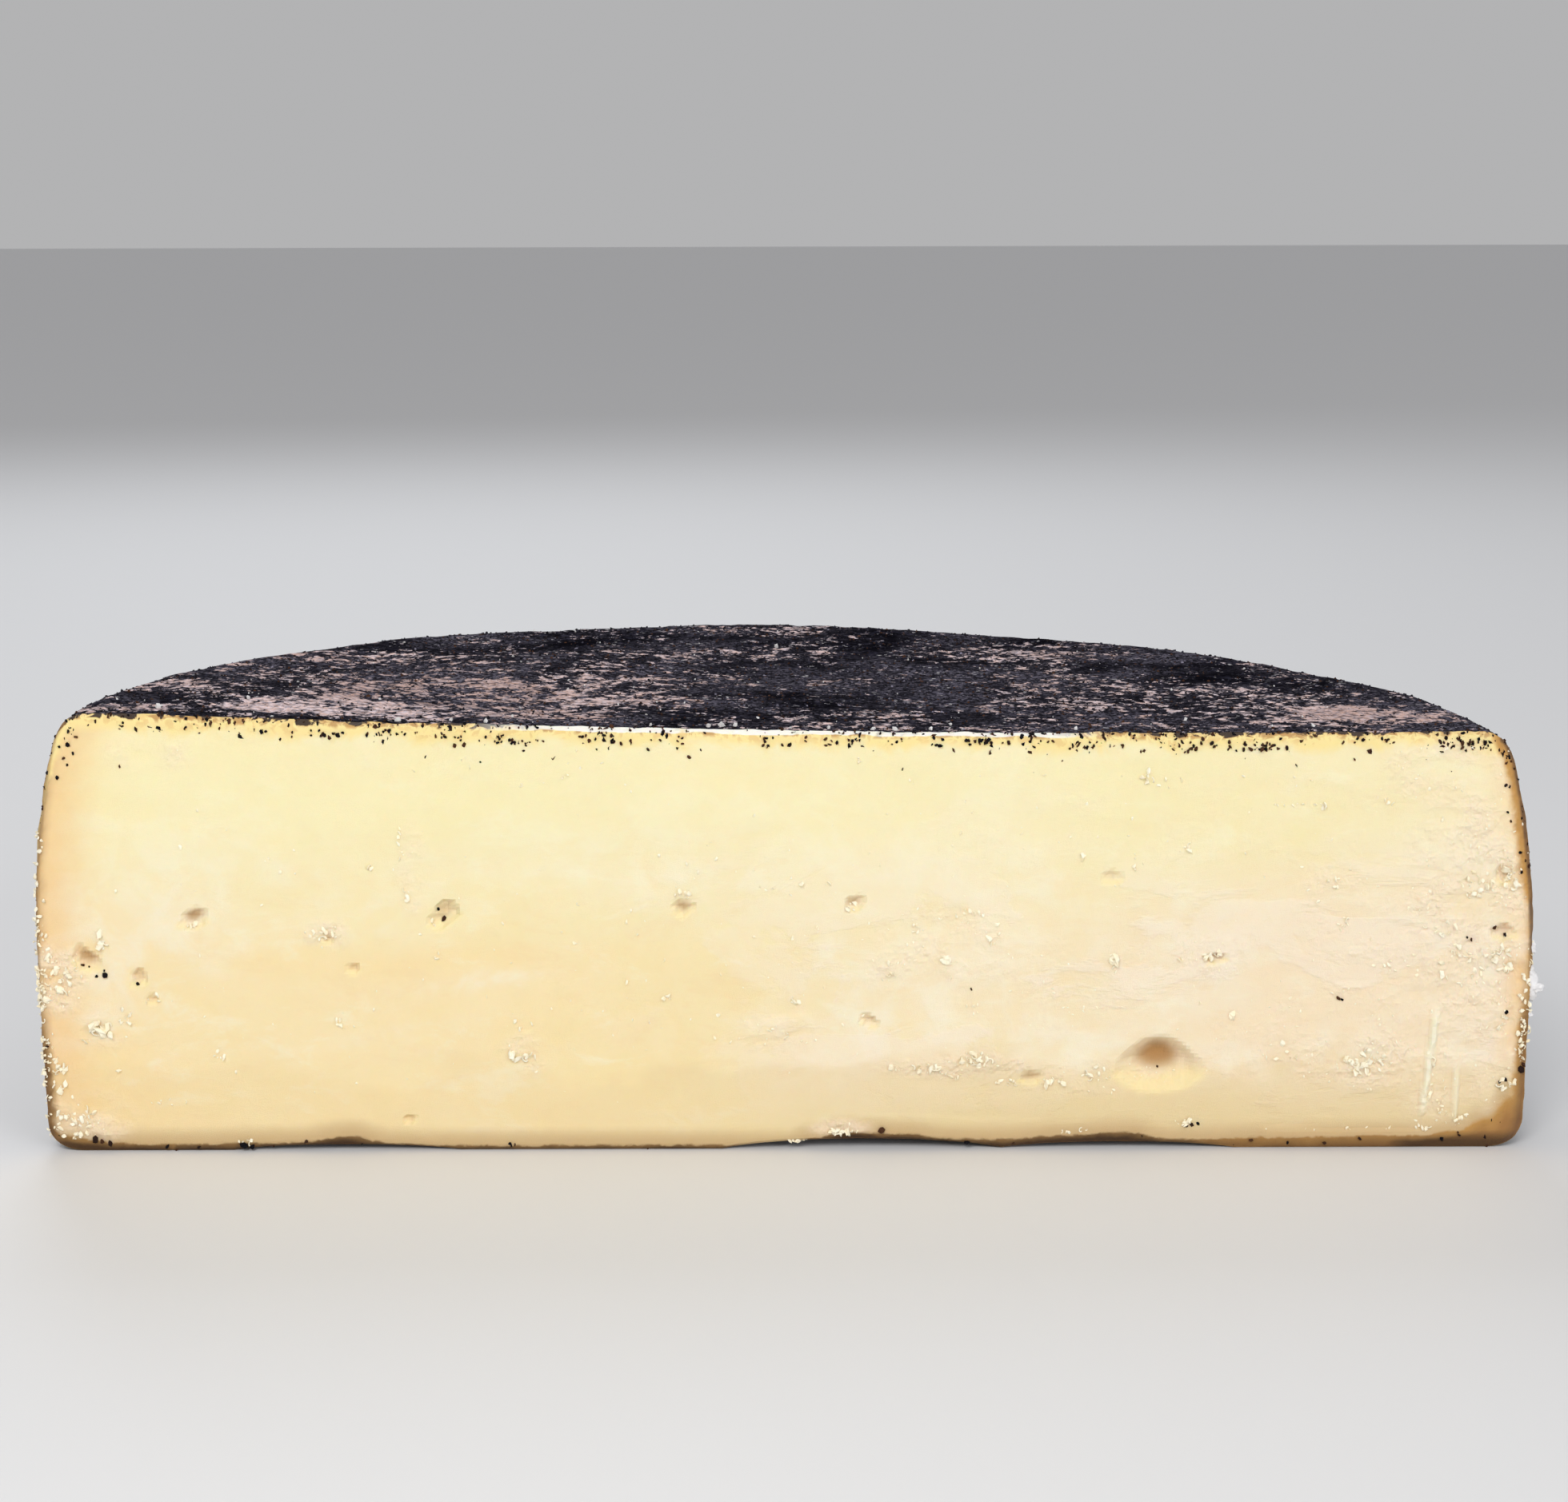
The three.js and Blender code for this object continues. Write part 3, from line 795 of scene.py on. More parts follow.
def paste_material(look, curd, grit, frayed):
    """The cut: clouded cream, butter and brown towards the rind, painted shade in eyes, foot and ends.
    """
    material, graph, shader, place = new_material("cut_paste")
    tone = use(graph, curd, Vector=stretch(graph, place, (0.5, 1.0, 1.3)),
               Cloud_Scale=17.0, Knit_Scale=120.0)
    small = use(graph, curd, Vector=place, Cloud_Scale=95.0, Knit_Scale=420.0)
    blotch = use(graph, curd, Vector=place, Cloud_Scale=330.0, Knit_Scale=900.0)
    torn, eye_shade, lip = (graph.attribute(name) for name in ("torn", "eye_shade", "lip"))
    above, dried = graph.attribute("above"), graph.attribute("dried_gap")
    brown, rimlit = graph.attribute("brown"), graph.attribute("rimlit")

    def border(distance, fray, low, high, wave=small["Cloud"]):
        return use(graph, frayed, Distance=distance, Noise=wave, Fray=fray, From=low,
                   To=high)["Mask"]

    def share(mask, amount):
        return graph.math("MULTIPLY", mask, amount)

    colour = graph.mix(share(tone["Cloud"], 0.8), look.cream, look.pale)
    colour = graph.mix(share(small["Cloud"], 0.3), colour, TINTS["milky"])
    for name in ("warm", "pink"):
        colour = graph.mix(graph.attribute(name), colour, TINTS[name])
    smear = graph.math("MULTIPLY", graph.ramp(tone["Cloud"], 0.45, 0.9), small["Cloud"])
    colour = graph.mix(share(smear, 0.6), colour, TINTS["smear"])
    slanted = graph.add("ShaderNodeMapping", {
        "Vector": place, "Rotation": (0.0, 0.7, 0.0), "Scale": (0.4, 1.0, 1.0)}).outputs[0]
    scuff = graph.noise(slanted, 120.0, 6.0, 0.68, 0.4)
    colour = graph.mix(graph.ramp(scuff, 0.52, 0.68, 0.0, 0.38), colour, TINTS["scuff"])
    colour = graph.mix(graph.ramp(scuff, 0.46, 0.34, 0.0, 0.25), colour, TINTS["drag"])
    flake = graph.noise(stretch(graph, place, (0.6, 1.0, 1.2)), 42.0, 8.0, 0.62, 0.6)
    flake = graph.math("MULTIPLY", graph.ramp(flake, 0.50, 0.56), graph.attribute("flaky"))
    colour = graph.mix(share(flake, 0.5), colour, TINTS["flake"])
    # Among these, painted shade darkens the cut towards the base, the foot and both ends
    for name in ("upper", "amber_and_shade_at_ends", "painted_low_shade", "shade"):
        colour = graph.mix(graph.attribute(name), colour, TINTS[name])
    knit = graph.math("MULTIPLY", graph.ramp(blotch["Fine"], 0.5, 0.75), 0.12)
    colour = graph.mix(knit, colour, TINTS["knit"])
    butter = border(above, 2.6, 4.9, 1.9)
    colour = graph.mix(share(butter, 0.95), colour, look.butter)
    spots = graph.math("MULTIPLY", graph.ramp(blotch["Cloud"], 0.62, 0.95),
                       border(above, 1.5, 3.6, 1.4))
    colour = graph.mix(share(spots, 0.3), colour, TINTS["spots"])
    fringe = border(above, 1.8, 1.0, -0.1, blotch["Cloud"])
    colour = graph.mix(share(fringe, 0.8), colour, TINTS["fringe"])
    teeth = border(above, 2.4, 0.1, -0.15, graph.math("MULTIPLY_ADD", small["Cloud"], 0.5,
                                                       share(blotch["Cloud"], 0.5)))
    colour = graph.mix(share(teeth, 0.95), colour, TINTS["teeth"])
    # Painted highlight: a thin near-white line along the lit top rim of the cut
    line = graph.math("MULTIPLY", border(above, 0.5, 0.95, 0.65), rimlit)
    colour = graph.mix(line, colour, TINTS["line"])
    colour = graph.mix(share(torn, 0.65), colour, TINTS["torn"])
    colour = graph.mix(graph.attribute("scrape"), colour, TINTS["scrape"])
    # Painted highlight on the eyes' lower lips
    colour = graph.mix(share(lip, 0.65), colour, TINTS["lip"])
    # Painted shade inside the eyes
    colour = graph.mix(eye_shade, colour, look.eye_shade)
    # Dried strip colours: real dried rind, turning near black towards the base with painted shade where
    # the foot curves under
    deep = graph.mix(brown, look.amber, TINTS["deep"])
    shallow = graph.mix(brown, TINTS["tan"], TINTS["umber"])
    dry = graph.mix(border(dried, 0.7, 0.3, graph.ramp(brown, 0.0, 1.0, -5.0, -1.7)),
                    shallow, deep)
    soft = graph.attribute("soft")
    edge = border(dried, 0.45, soft, graph.math("MULTIPLY", soft, -1.0), blotch["Cloud"])
    colour = graph.mix(edge, colour, dry)
    # Painted shade along the two ends of the cut
    colour = graph.mix(graph.attribute("painted_end_shade"), colour, TINTS["painted_end_shade"])
    graph.put(shader.inputs["Base Color"], colour)
    rough = graph.math("MULTIPLY_ADD", small["Fine"], 0.2, 0.36)
    rough = graph.math("MULTIPLY_ADD", torn, 0.2, rough)
    rough = graph.math("MULTIPLY_ADD", edge, 0.3, rough)
    graph.put(shader.inputs["Roughness"], rough)
    shader.inputs["Subsurface Weight"].default_value = 0.3
    shader.inputs["Subsurface Radius"].default_value = (1.0, 0.62, 0.28)
    shader.inputs["Subsurface Scale"].default_value = 0.004
    shader.inputs["Specular IOR Level"].default_value = 0.35
    crumbs = use(graph, grit, Vector=place, Scale=950.0)
    broken = graph.math("MULTIPLY", torn, graph.math(
        "MULTIPLY_ADD", crumbs["Dome"], 0.5, blotch["Cloud"]))
    height = graph.math("MULTIPLY_ADD", broken, 0.85, share(blotch["Fine"], 0.55))
    height = graph.math("MULTIPLY_ADD", scuff, 0.5, height)
    height = graph.math("MULTIPLY_ADD", flake, 0.4, height)
    height = graph.math("MULTIPLY_ADD", small["Cloud"], 0.25, height)
    bump(graph, shader, height, 0.0004)
    return material


def rind_material(look, curd, grit):
    """The rub: packed dark grains, worn clay patches, dust and pale specks."""
    material, graph, shader, place = new_material("rubbed_rind")
    worn, foot = graph.attribute("worn"), graph.attribute("foot")
    coarse = use(graph, grit, Vector=place, Scale=560.0)
    fine = use(graph, grit, Vector=place, Scale=1300.0)
    wide = use(graph, curd, Vector=place, Cloud_Scale=24.0, Knit_Scale=60.0)
    middle = use(graph, curd, Vector=place, Cloud_Scale=120.0, Knit_Scale=300.0)
    tight = use(graph, curd, Vector=place, Cloud_Scale=330.0, Knit_Scale=800.0)
    light = graph.math("MULTIPLY", graph.ramp(coarse["Tone"], 0.3, 1.0),
                       graph.ramp(middle["Cloud"], -0.2, 1.0))
    grains = graph.mix(light, look.soot, look.slate)
    dusty = graph.math("MAXIMUM", wide["Cloud"], worn)
    own = graph.ramp(fine["Tone"], 0.35, 0.8, 0.15, 1.0)
    bloom = graph.math("MULTIPLY", graph.math("MULTIPLY", dusty, 0.56), own)
    grains = graph.mix(bloom, grains, look.bloom)
    salt = graph.math("MULTIPLY", graph.ramp(fine["Tone"], 0.94, 0.98), graph.ramp(
        middle["Cloud"], 0.2, 0.9))
    grains = graph.mix(salt, grains, look.dust)
    bare = graph.math("MULTIPLY_ADD", graph.math("SUBTRACT", middle["Cloud"], 0.5), 0.5, worn)
    bare = graph.math("MULTIPLY_ADD", graph.math("SUBTRACT", tight["Cloud"], 0.5), 0.6, bare)
    bare = graph.math("MULTIPLY_ADD", graph.math("SUBTRACT", coarse["Tone"], 0.5), 0.5, bare)
    bare = graph.math("MULTIPLY_ADD", graph.math("SUBTRACT", fine["Tone"], 0.5), 0.35, bare)
    bare = graph.math("MAXIMUM", bare, foot)
    clay = graph.mix(fine["Tone"], look.clay, look.pale_clay)
    clay = graph.mix(graph.math("MULTIPLY", wide["Cloud"], 0.4), clay, (0.36, 0.18, 0.11))
    clay = graph.mix(graph.ramp(foot, 0.2, 0.6), clay, (0.34, 0.20, 0.10))
    dashes = graph.math("MULTIPLY", graph.ramp(fine["Tone"], 0.62, 0.68), graph.ramp(
        tight["Cloud"], 0.75, 0.15, 0.22, 0.85))
    dashes = graph.math("MULTIPLY", dashes, graph.ramp(worn, 0.6, 1.0, 1.0, 0.6))
    clay = graph.mix(dashes, clay, look.slate)
    colour = graph.mix(graph.ramp(bare, 0.50, 0.66), grains, clay)
    # Painted shade in the gaps between the packed grains
    colour = graph.mix(graph.math("MULTIPLY", coarse["Gap"], 0.6), colour, look.soot)
    graph.put(shader.inputs["Base Color"], colour)
    rough = graph.ramp(graph.math("ADD", fine["Tone"], bare), 0.0, 1.6, 0.62, 0.9)
    graph.put(shader.inputs["Roughness"], rough)
    shader.inputs["Specular IOR Level"].default_value = 0.0
    height = graph.math("MULTIPLY_ADD", fine["Dome"], 0.35, coarse["Dome"])
    height = graph.math("MULTIPLY_ADD", tight["Cloud"], 0.8, height)
    height = graph.math("MULTIPLY_ADD", bare, -0.8, height)
    bump(graph, shader, height, 0.0007)
    return material


def grain_material(look, grit):
    """Loose coarse grains of the rub: nearly black, each with its own tone."""
    material, graph, shader, place = new_material("rub_grain")
    own = graph.attribute("tone")
    fine = use(graph, grit, Vector=place, Scale=3500.0)
    colour = graph.mix(graph.ramp(own, 0.4, 1.0), look.soot, look.slate)
    colour = graph.mix(graph.ramp(own, 0.95, 0.99), colour, look.bloom)
    colour = graph.mix(graph.ramp(own, 0.34, 0.0), colour, (0.075, 0.032, 0.016))
    graph.put(shader.inputs["Base Color"], colour)
    graph.put(shader.inputs["Roughness"], graph.math("MULTIPLY_ADD", fine["Tone"], 0.25, 0.5))
    shader.inputs["Specular IOR Level"].default_value = 0.07
    bump(graph, shader, fine["Dome"], 0.0001)
    return material


def crumb_material(name, light, dark, curd):
    """Crumbs, shreds and flecks: paste dried pale at its edges."""
    material, graph, shader, place = new_material(name)
    tone = use(graph, curd, Vector=place, Cloud_Scale=240.0, Knit_Scale=700.0)
    own = graph.attribute("tone")
    factor = graph.math("MULTIPLY_ADD", tone["Cloud"], 0.5, graph.math("MULTIPLY", own, 0.5))
    graph.put(shader.inputs["Base Color"], graph.mix(factor, light, dark))
    graph.put(shader.inputs["Roughness"], graph.math("MULTIPLY_ADD", tone["Fine"], 0.25, 0.4))
    shader.inputs["Specular IOR Level"].default_value = 0.2
    bump(graph, shader, tone["Fine"], 0.0002)
    return material


def materials():
    """Every finish, built once and found again by name."""
    if "cut_paste" in bpy.data.materials:
        return bpy.data.materials
    scene = bpy.context.scene
    curd, grit, frayed = curd_group(), grit_group(), frayed_group()
    paste_material(scene.paste_look, curd, grit, frayed)
    rind_material(scene.rub_look, curd, grit)
    grain_material(scene.rub_look, grit)
    crumb_material("paste_crumb", (1.0, 0.96, 0.80), (1.0, 0.88, 0.62), curd)
    crumb_material("pale_fleck", (0.88, 0.87, 0.88), (0.55, 0.52, 0.50), curd)
    return bpy.data.materials


# ---------------------------------------------------------------- geometry nodes


def node_tree(name, sockets):
    """A geometry node group with named inputs; returns its graph and group ends."""
    tree = bpy.data.node_groups.new(name, "GeometryNodeTree")
    tree.interface.new_socket("Geometry", in_out="INPUT", socket_type="NodeSocketGeometry")
    tree.interface.new_socket("Geometry", in_out="OUTPUT", socket_type="NodeSocketGeometry")
    for label, (kind, value) in sockets.items():
        socket = tree.interface.new_socket(label, in_out="INPUT", socket_type="NodeSocket" + kind)
        if value is not None:
            socket.default_value = value
    graph = Graph(tree)
    return graph, graph.add("NodeGroupInput").outputs, graph.add("NodeGroupOutput").inputs


GRAIN_SOCKETS = {
    "Length": ("Float", 0.001),
    "Least Share": ("Float", 0.45),
    "Flatness": ("Float", 0.7),
    "Ragged": ("Float", 0.45),
    "Curls": ("Bool", False),
    "Palest": ("Float", 1.0),
    "Lift": ("Float", 0.0),
    "Seed": ("Int", 0),
    "Material": ("Material", None),
}
GRAIN_KINDS = 4


FULL_TURN = 6.283


def random_value(graph, low, high, seed, kind="FLOAT"):
    node = graph.add("FunctionNodeRandomValue", data_type=kind)
    first = {"FLOAT": 2, "FLOAT_VECTOR": 0}[kind]
    graph.put(node.inputs[first], low)
    graph.put(node.inputs[first + 1], high)
    graph.put(node.inputs["Seed"], seed)
    return node.outputs[{"FLOAT": 1, "FLOAT_VECTOR": 0}[kind]]


def grain_kinds(graph, given):
    """Four ragged grains of unit length, or four grains and two curls, to pick from."""
    where = graph.add("GeometryNodeInputPosition").outputs[0]
    together = graph.add("GeometryNodeJoinGeometry")
    for kind in range(GRAIN_KINDS):
        ball = graph.add("GeometryNodeMeshIcoSphere", {"Radius": 0.5, "Subdivisions": 1})
        wobble = graph.add("ShaderNodeTexNoise", {
            "Vector": where, "W": 3.7 * kind, "Scale": 1.6, "Detail": 0.0},
            noise_dimensions="4D")
        centred = graph.add("ShaderNodeVectorMath", {
            0: wobble.outputs["Color"], 1: (0.5, 0.5, 0.5)}, operation="SUBTRACT").outputs[0]
        push = graph.add("ShaderNodeVectorMath", {
            0: centred, "Scale": graph.math("MULTIPLY", given["Ragged"], 2.0)},
            operation="SCALE").outputs[0]
        rough = graph.add("GeometryNodeSetPosition", {
            "Geometry": ball.outputs["Mesh"], "Offset": push})
        single = graph.add("GeometryNodeGeometryToInstance", {"Geometry": rough.outputs[0]})
        graph.tree.links.new(single.outputs[0], together.inputs[0])
    curled = graph.add("GeometryNodeJoinGeometry")
    graph.tree.links.new(together.outputs[0], curled.inputs[0])
    for sweep in (2.6, 4.2):
        arc = graph.add("GeometryNodeCurveArc", {
            "Resolution": 7, "Radius": 0.42, "Sweep Angle": sweep}, mode="RADIUS")
        thread = graph.add("GeometryNodeCurvePrimitiveCircle", {
            "Resolution": 4, "Radius": 0.14}, mode="RADIUS")
        strip = graph.add("GeometryNodeCurveToMesh", {
            "Curve": arc.outputs[0], "Profile Curve": thread.outputs[0], "Fill Caps": True})
        single = graph.add("GeometryNodeGeometryToInstance", {"Geometry": strip.outputs[0]})
        graph.tree.links.new(single.outputs[0], curled.inputs[0])
    pick = graph.add("GeometryNodeSwitch", {"Switch": given["Curls"]}, input_type="GEOMETRY")
    graph.put(pick.inputs["False"], together.outputs[0])
    graph.put(pick.inputs["True"], curled.outputs[0])
    return pick.outputs[0]


def grains_on(graph, given, points, normal, size):
    """Puts one rough grain on each point and makes them one mesh."""
    lift = graph.add("ShaderNodeVectorMath", {0: normal, "Scale": given["Lift"]},
                     operation="SCALE").outputs[0]
    points = graph.add("GeometryNodeSetPosition", {"Geometry": points, "Offset": lift})
    turn = random_value(graph, (0, 0, 0), (FULL_TURN,) * 3, given["Seed"], "FLOAT_VECTOR")
    share = random_value(graph, given["Least Share"], 1.0, given["Seed"])
    thin = random_value(graph, given["Flatness"], 1.0, graph.math("ADD", given["Seed"], 5))
    length = graph.math("MULTIPLY", size, share)
    scale = graph.add("ShaderNodeCombineXYZ", {
        "X": length, "Y": graph.math("MULTIPLY", length, thin),
        "Z": graph.math("MULTIPLY", length, given["Flatness"])}).outputs[0]
    placed = graph.add("GeometryNodeInstanceOnPoints", {
        "Points": points.outputs[0], "Instance": grain_kinds(graph, given),
        "Pick Instance": True, "Rotation": turn, "Scale": scale})
    tone = random_value(graph, 0.0, given["Palest"], graph.math("ADD", given["Seed"], 9))
    toned = graph.add("GeometryNodeStoreNamedAttribute", {
        "Geometry": placed.outputs[0], "Name": "tone", "Value": tone},
        data_type="FLOAT", domain="INSTANCE")
    solid = graph.add("GeometryNodeRealizeInstances", {"Geometry": toned.outputs[0]})
    return graph.add("GeometryNodeSetMaterial", {
        "Geometry": solid.outputs[0], "Material": given["Material"]}).outputs[0]


def strewn_tree():
    """Grains strewn over a surface, as thick as one of its attributes says."""
    sockets = {"Where": ("String", ""), "Per Square Metre": ("Float", 1000.0), **GRAIN_SOCKETS}
    graph, given, result = node_tree("Strewn Grains", sockets)
    where = graph.add("GeometryNodeInputNamedAttribute", {"Name": given["Where"]},
                      data_type="FLOAT").outputs[0]
    density = graph.math("MULTIPLY", where, given["Per Square Metre"])
    spots = graph.add("GeometryNodeDistributePointsOnFaces", {
        "Mesh": given["Geometry"], "Density": density, "Seed": given["Seed"]})
    graph.put(result[0], grains_on(graph, given, spots.outputs["Points"],
                                   spots.outputs["Normal"], given["Length"]))
    return graph.tree


def placed_tree():
    """A grain on each vertex of a mesh that is only vertices, as long as its length says."""
    graph, given, result = node_tree("Placed Grains", GRAIN_SOCKETS)
    spots = graph.add("GeometryNodeMeshToPoints", {"Mesh": given["Geometry"]})
    own = graph.add("GeometryNodeInputNamedAttribute", {"Name": "length"},
                    data_type="FLOAT").outputs[0]
    size = graph.math("MULTIPLY", given["Length"], own)
    graph.put(result[0], grains_on(graph, given, spots.outputs[0], (0.0, -1.0, 0.0), size))
    return graph.tree


def apply_tree(source, tree, name, **inputs):
    """Runs a tree on a copy of a mesh and returns the result as a plain new object."""
    holder = bpy.data.objects.new(name + "_source", source)
    bpy.context.scene.collection.objects.link(holder)
    modifier = holder.modifiers.new(name, "NODES")
    modifier.node_group = tree
    known = {item.name: item.identifier for item in tree.interface.items_tree
             if item.in_out == "INPUT"}
    for label, value in inputs.items():
        modifier[known[label.replace("_", " ")]] = value
    graph = bpy.context.evaluated_depsgraph_get()
    mesh = bpy.data.meshes.new_from_object(holder.evaluated_get(graph), depsgraph=graph)
    bpy.data.objects.remove(holder)
    if not mesh.polygons:
        raise RuntimeError(f"{name}: the node tree made nothing")
    mesh.name = name
    mesh.materials.clear()
    return mesh


def tree_named(name, build):
    return bpy.data.node_groups.get(name) or build()


# ---------------------------------------------------------------- operators


def set_attribute(mesh, name, values):
    layer = mesh.attributes.new(name, "FLOAT", "POINT")
    layer.data.foreach_set("value", np.asarray(values, np.float32))


def bake_map(mesh, faces, parts, places):
    """A map that gives the cut, the side, the top and the base a place each."""
    x, y, z = places.T
    turn = 1 - np.arctan2(np.maximum(y, 0), x) / math.pi
    wide, tall = 2 * np.abs(x).max(), z.max()
    layouts = {
        "cut": (0.005 + 0.99 * (x / wide + 0.5), 0.005 + 0.31 * z / tall),
        "side": (0.005 + 0.99 * turn, 0.335 + 0.23 * z / tall),
        "top": (0.005 + 0.66 * (x / wide + 0.5), 0.585 + 0.66 * y / wide),
        "base": (0.68 + 0.31 * (x / wide + 0.5), 0.585 + 0.31 * y / wide),
    }
    corners = np.concatenate([np.array(f) for f in faces])
    owner = np.repeat(parts, [len(f) for f in faces])
    owner = np.where(owner == "edge", "side", owner)
    uv = np.zeros((len(corners), 2))
    for part, (u, v) in layouts.items():
        mine = owner == part
        uv[mine] = np.stack([u[corners[mine]], v[corners[mine]]], axis=1)
    mesh.uv_layers.new(name="OFBake").data.foreach_set("uv", uv.astype(np.float32).ravel())


def paste_masks(cut, masks):
    """What the paste and the grains on it read, at each place of the cut."""
    x, z = cut[:, 0], cut[:, 2]
    above, ends, ragged = masks["above"], masks["ends"], masks["ragged"]
    slow = clouds(cut * [0.4, 1, 1.4], 34, 3, 9.1)
    blotch = clouds(cut * [0.55, 1, 1.1], 13, 4, 12.5)
    # the yellow under the rind turns down the two upper corners
    corner = np.minimum(above, 1.5 * ends + 90 * smooth(z, 88, 72))
    corner += 1.3 * smooth(x, -140, -150) * smooth(above, 1, 2)
    # Deeper amber paste near the ends of the cut, with painted shade where the light falls off at the
    # left end
    amber_and_shade_at_ends = smooth(ends + ragged, 16, 2) * 0.62 * smooth(x, -120, -150)
    amber_and_shade_at_ends += smooth(x, 120, 150) * smooth(ends, 10, 2) * (0.3 + 0.7 * np.clip(blotch, 0, 1))
    shade = 0.7 * smooth(ends + 0.4 * ragged, 3.2, 0) * smooth(z, 96, 86)
    foot_gap = masks["foot_gap"]
    shade = np.maximum(shade, 0.6 * smooth(foot_gap + 0.3 * ragged, 5.0, 0.2))
    warm = 0.34 * smooth(z + 5 * slow, 56, 46) * smooth(x, 40, -60)
    warm += 0.22 * smooth(slow, 0.0, 0.7) + 0.16 * smooth(x, 140, 160)
    warm += 0.3 * smooth(z + 5 * ragged, 30, 8) * smooth(x, -120, -155)
    warm += 0.3 * smooth(x, -138, -158)
    pink = smooth(x + 14 * slow, 30, 110) * smooth(z + 8 * slow, 74, 52)
    # Painted shade: the cut darkens towards the base and the foot, where less light falls
    painted_low_shade = smooth(z + 8 * blotch + 3 * slow, 22, 15) * (0.27 + 0.36 * smooth(x, -90, 60))
    painted_low_shade += 0.3 * smooth(z + 3 * slow, 16, 3) * smooth(x, -20, 90)
    painted_low_shade = np.clip(np.maximum(painted_low_shade, 0.9 * smooth(foot_gap + 0.4 * ragged, 6.5, 2.0)), 0, 0.9)
    # Painted shade along both ends of the cut, darkest at the outer edge and round the lower right
    # corner
    painted_end_shade = 0.85 * smooth(ends + 0.35 * ragged, 1.3, 0.35) * smooth(z, 34, 50)
    low_rim = 0.6 * smooth(ends + 0.3 * ragged, 3.4, 0.2) * smooth(z, 40, 30)
    painted_end_shade = np.maximum(painted_end_shade, low_rim)
    painted_end_shade *= 0.45 + 0.55 * smooth(x, -10, 10)
    # Share of the darker colours in the dried strip: its own brown, with painted shade where the foot
    # curves under
    brown = np.maximum(smooth(ends, 30, 9) * smooth(x, 60, 100) * smooth(z, 22, 4) * 0.12,
                       1 - 0.45 * smooth(x, 88, 104) - 0.55 * smooth(np.abs(x), 146, 160))
    brown = np.where(x < -140, 0.42 * smooth(z, 34, 22) + 0.25, brown)
    brown = np.maximum(brown, 0.95 * smooth(z, 5, 1) * smooth(np.abs(x), 130, 145))
    brown = np.where(z > 34, 0.05, brown)
    soft = 0.35 + 0.9 * smooth(np.abs(x), 150, 166) * smooth(z, 2, 8)
    clump = smooth(clouds(cut * [1, 1, 0.3], 8, 2, 7.7), -0.25, 0.45)
    low_row = smooth(np.abs(above - 2.9 - 0.5 * ragged), 1.7, 0.3)
    band = 0.7 * low_row * (0.05 + clump) * (1 + 1.2 * smooth(x, 30, 80))
    band += 1.3 * smooth(above, 1.4, 0.2) * (0.25 + clump)
    band += 0.04 * smooth(above, 11, 4)
    band += 0.16 * smooth(ends, 4.0, 1.5) * smooth(x, 20, 60) * smooth(z, 50, 84)
    return {
        "torn": masks["torn"], "eye_shade": masks["eye_shade"], "lip": masks["lip"],
        "above": corner, "dried_gap": masks["dried_gap"],
        "warm": np.clip(warm, 0, 1), "pink": 0.75 * pink, "painted_low_shade": painted_low_shade, "brown": brown,
        "soft": soft, "scrape": masks["ridge"], "amber_and_shade_at_ends": np.clip(amber_and_shade_at_ends, 0, 1),
        "shade": shade, "painted_end_shade": painted_end_shade,
        "flaky": smooth(x + 14 * slow, -70, 50) * smooth(z + 8 * slow, 82, 55)
        * smooth(z, 4, 12),
        "upper": smooth(z + 6 * slow, 40, 88) * (0.6 - 0.25 * smooth(x, 60, 130)),
        # Where the painted highlight runs along the top rim
        "rimlit": smooth(x, -75, -50) * smooth(x, 74, 58) * smooth(ragged, -1.2, -0.3),
        "band": band,
        "foot_grit": smooth(foot_gap, 0.5, -0.3) * (0.1 + clump),
    }


def rind_masks(places, on_cut):
    """What the rind and the grains on it read, at each place of the wheel."""
    x, y, z = places.T
    top = smooth(z, 88, 97) * ~on_cut
    side = ~on_cut * smooth(z, 97, 90) * smooth(z, 1.0, 6.0)
    patchy = clouds(places, 30, 3, 1.3)
    worn = worn_patches(places) * smooth(z, 85, 95) * (0.8 + 0.5 * patchy)
    worn = np.clip(np.maximum(worn, 0.4 * smooth(patchy, 0.0, 0.6)), 0, 1)
    near_cut = smooth(y, 5, 0.5)
    foot = np.maximum(smooth(z, 3.0, 0.5) * 0.62,
                      0.56 * smooth(z + 7 * clouds(places, 9, 3, 2.7), 16, 1))
    return {
        "worn": worn, "foot": foot, "rub_top": top * (1 - 0.92 * worn + 0.7 * near_cut),
        "rub_side": side * (1 - 0.75 * worn), "skin": top + side,
        "ragged_edge": smooth(np.abs(x), 166, 169) * smooth(y, 2.4, 0.2) * smooth(z, 1, 4)
        * np.where(x < 0, smooth(z, 92, 84), 0.8 * near(z, 36, 16, 9))
        * (0.35 + smooth(clouds(places, 6, 2, 4.2), -0.1, 0.5)),
    }


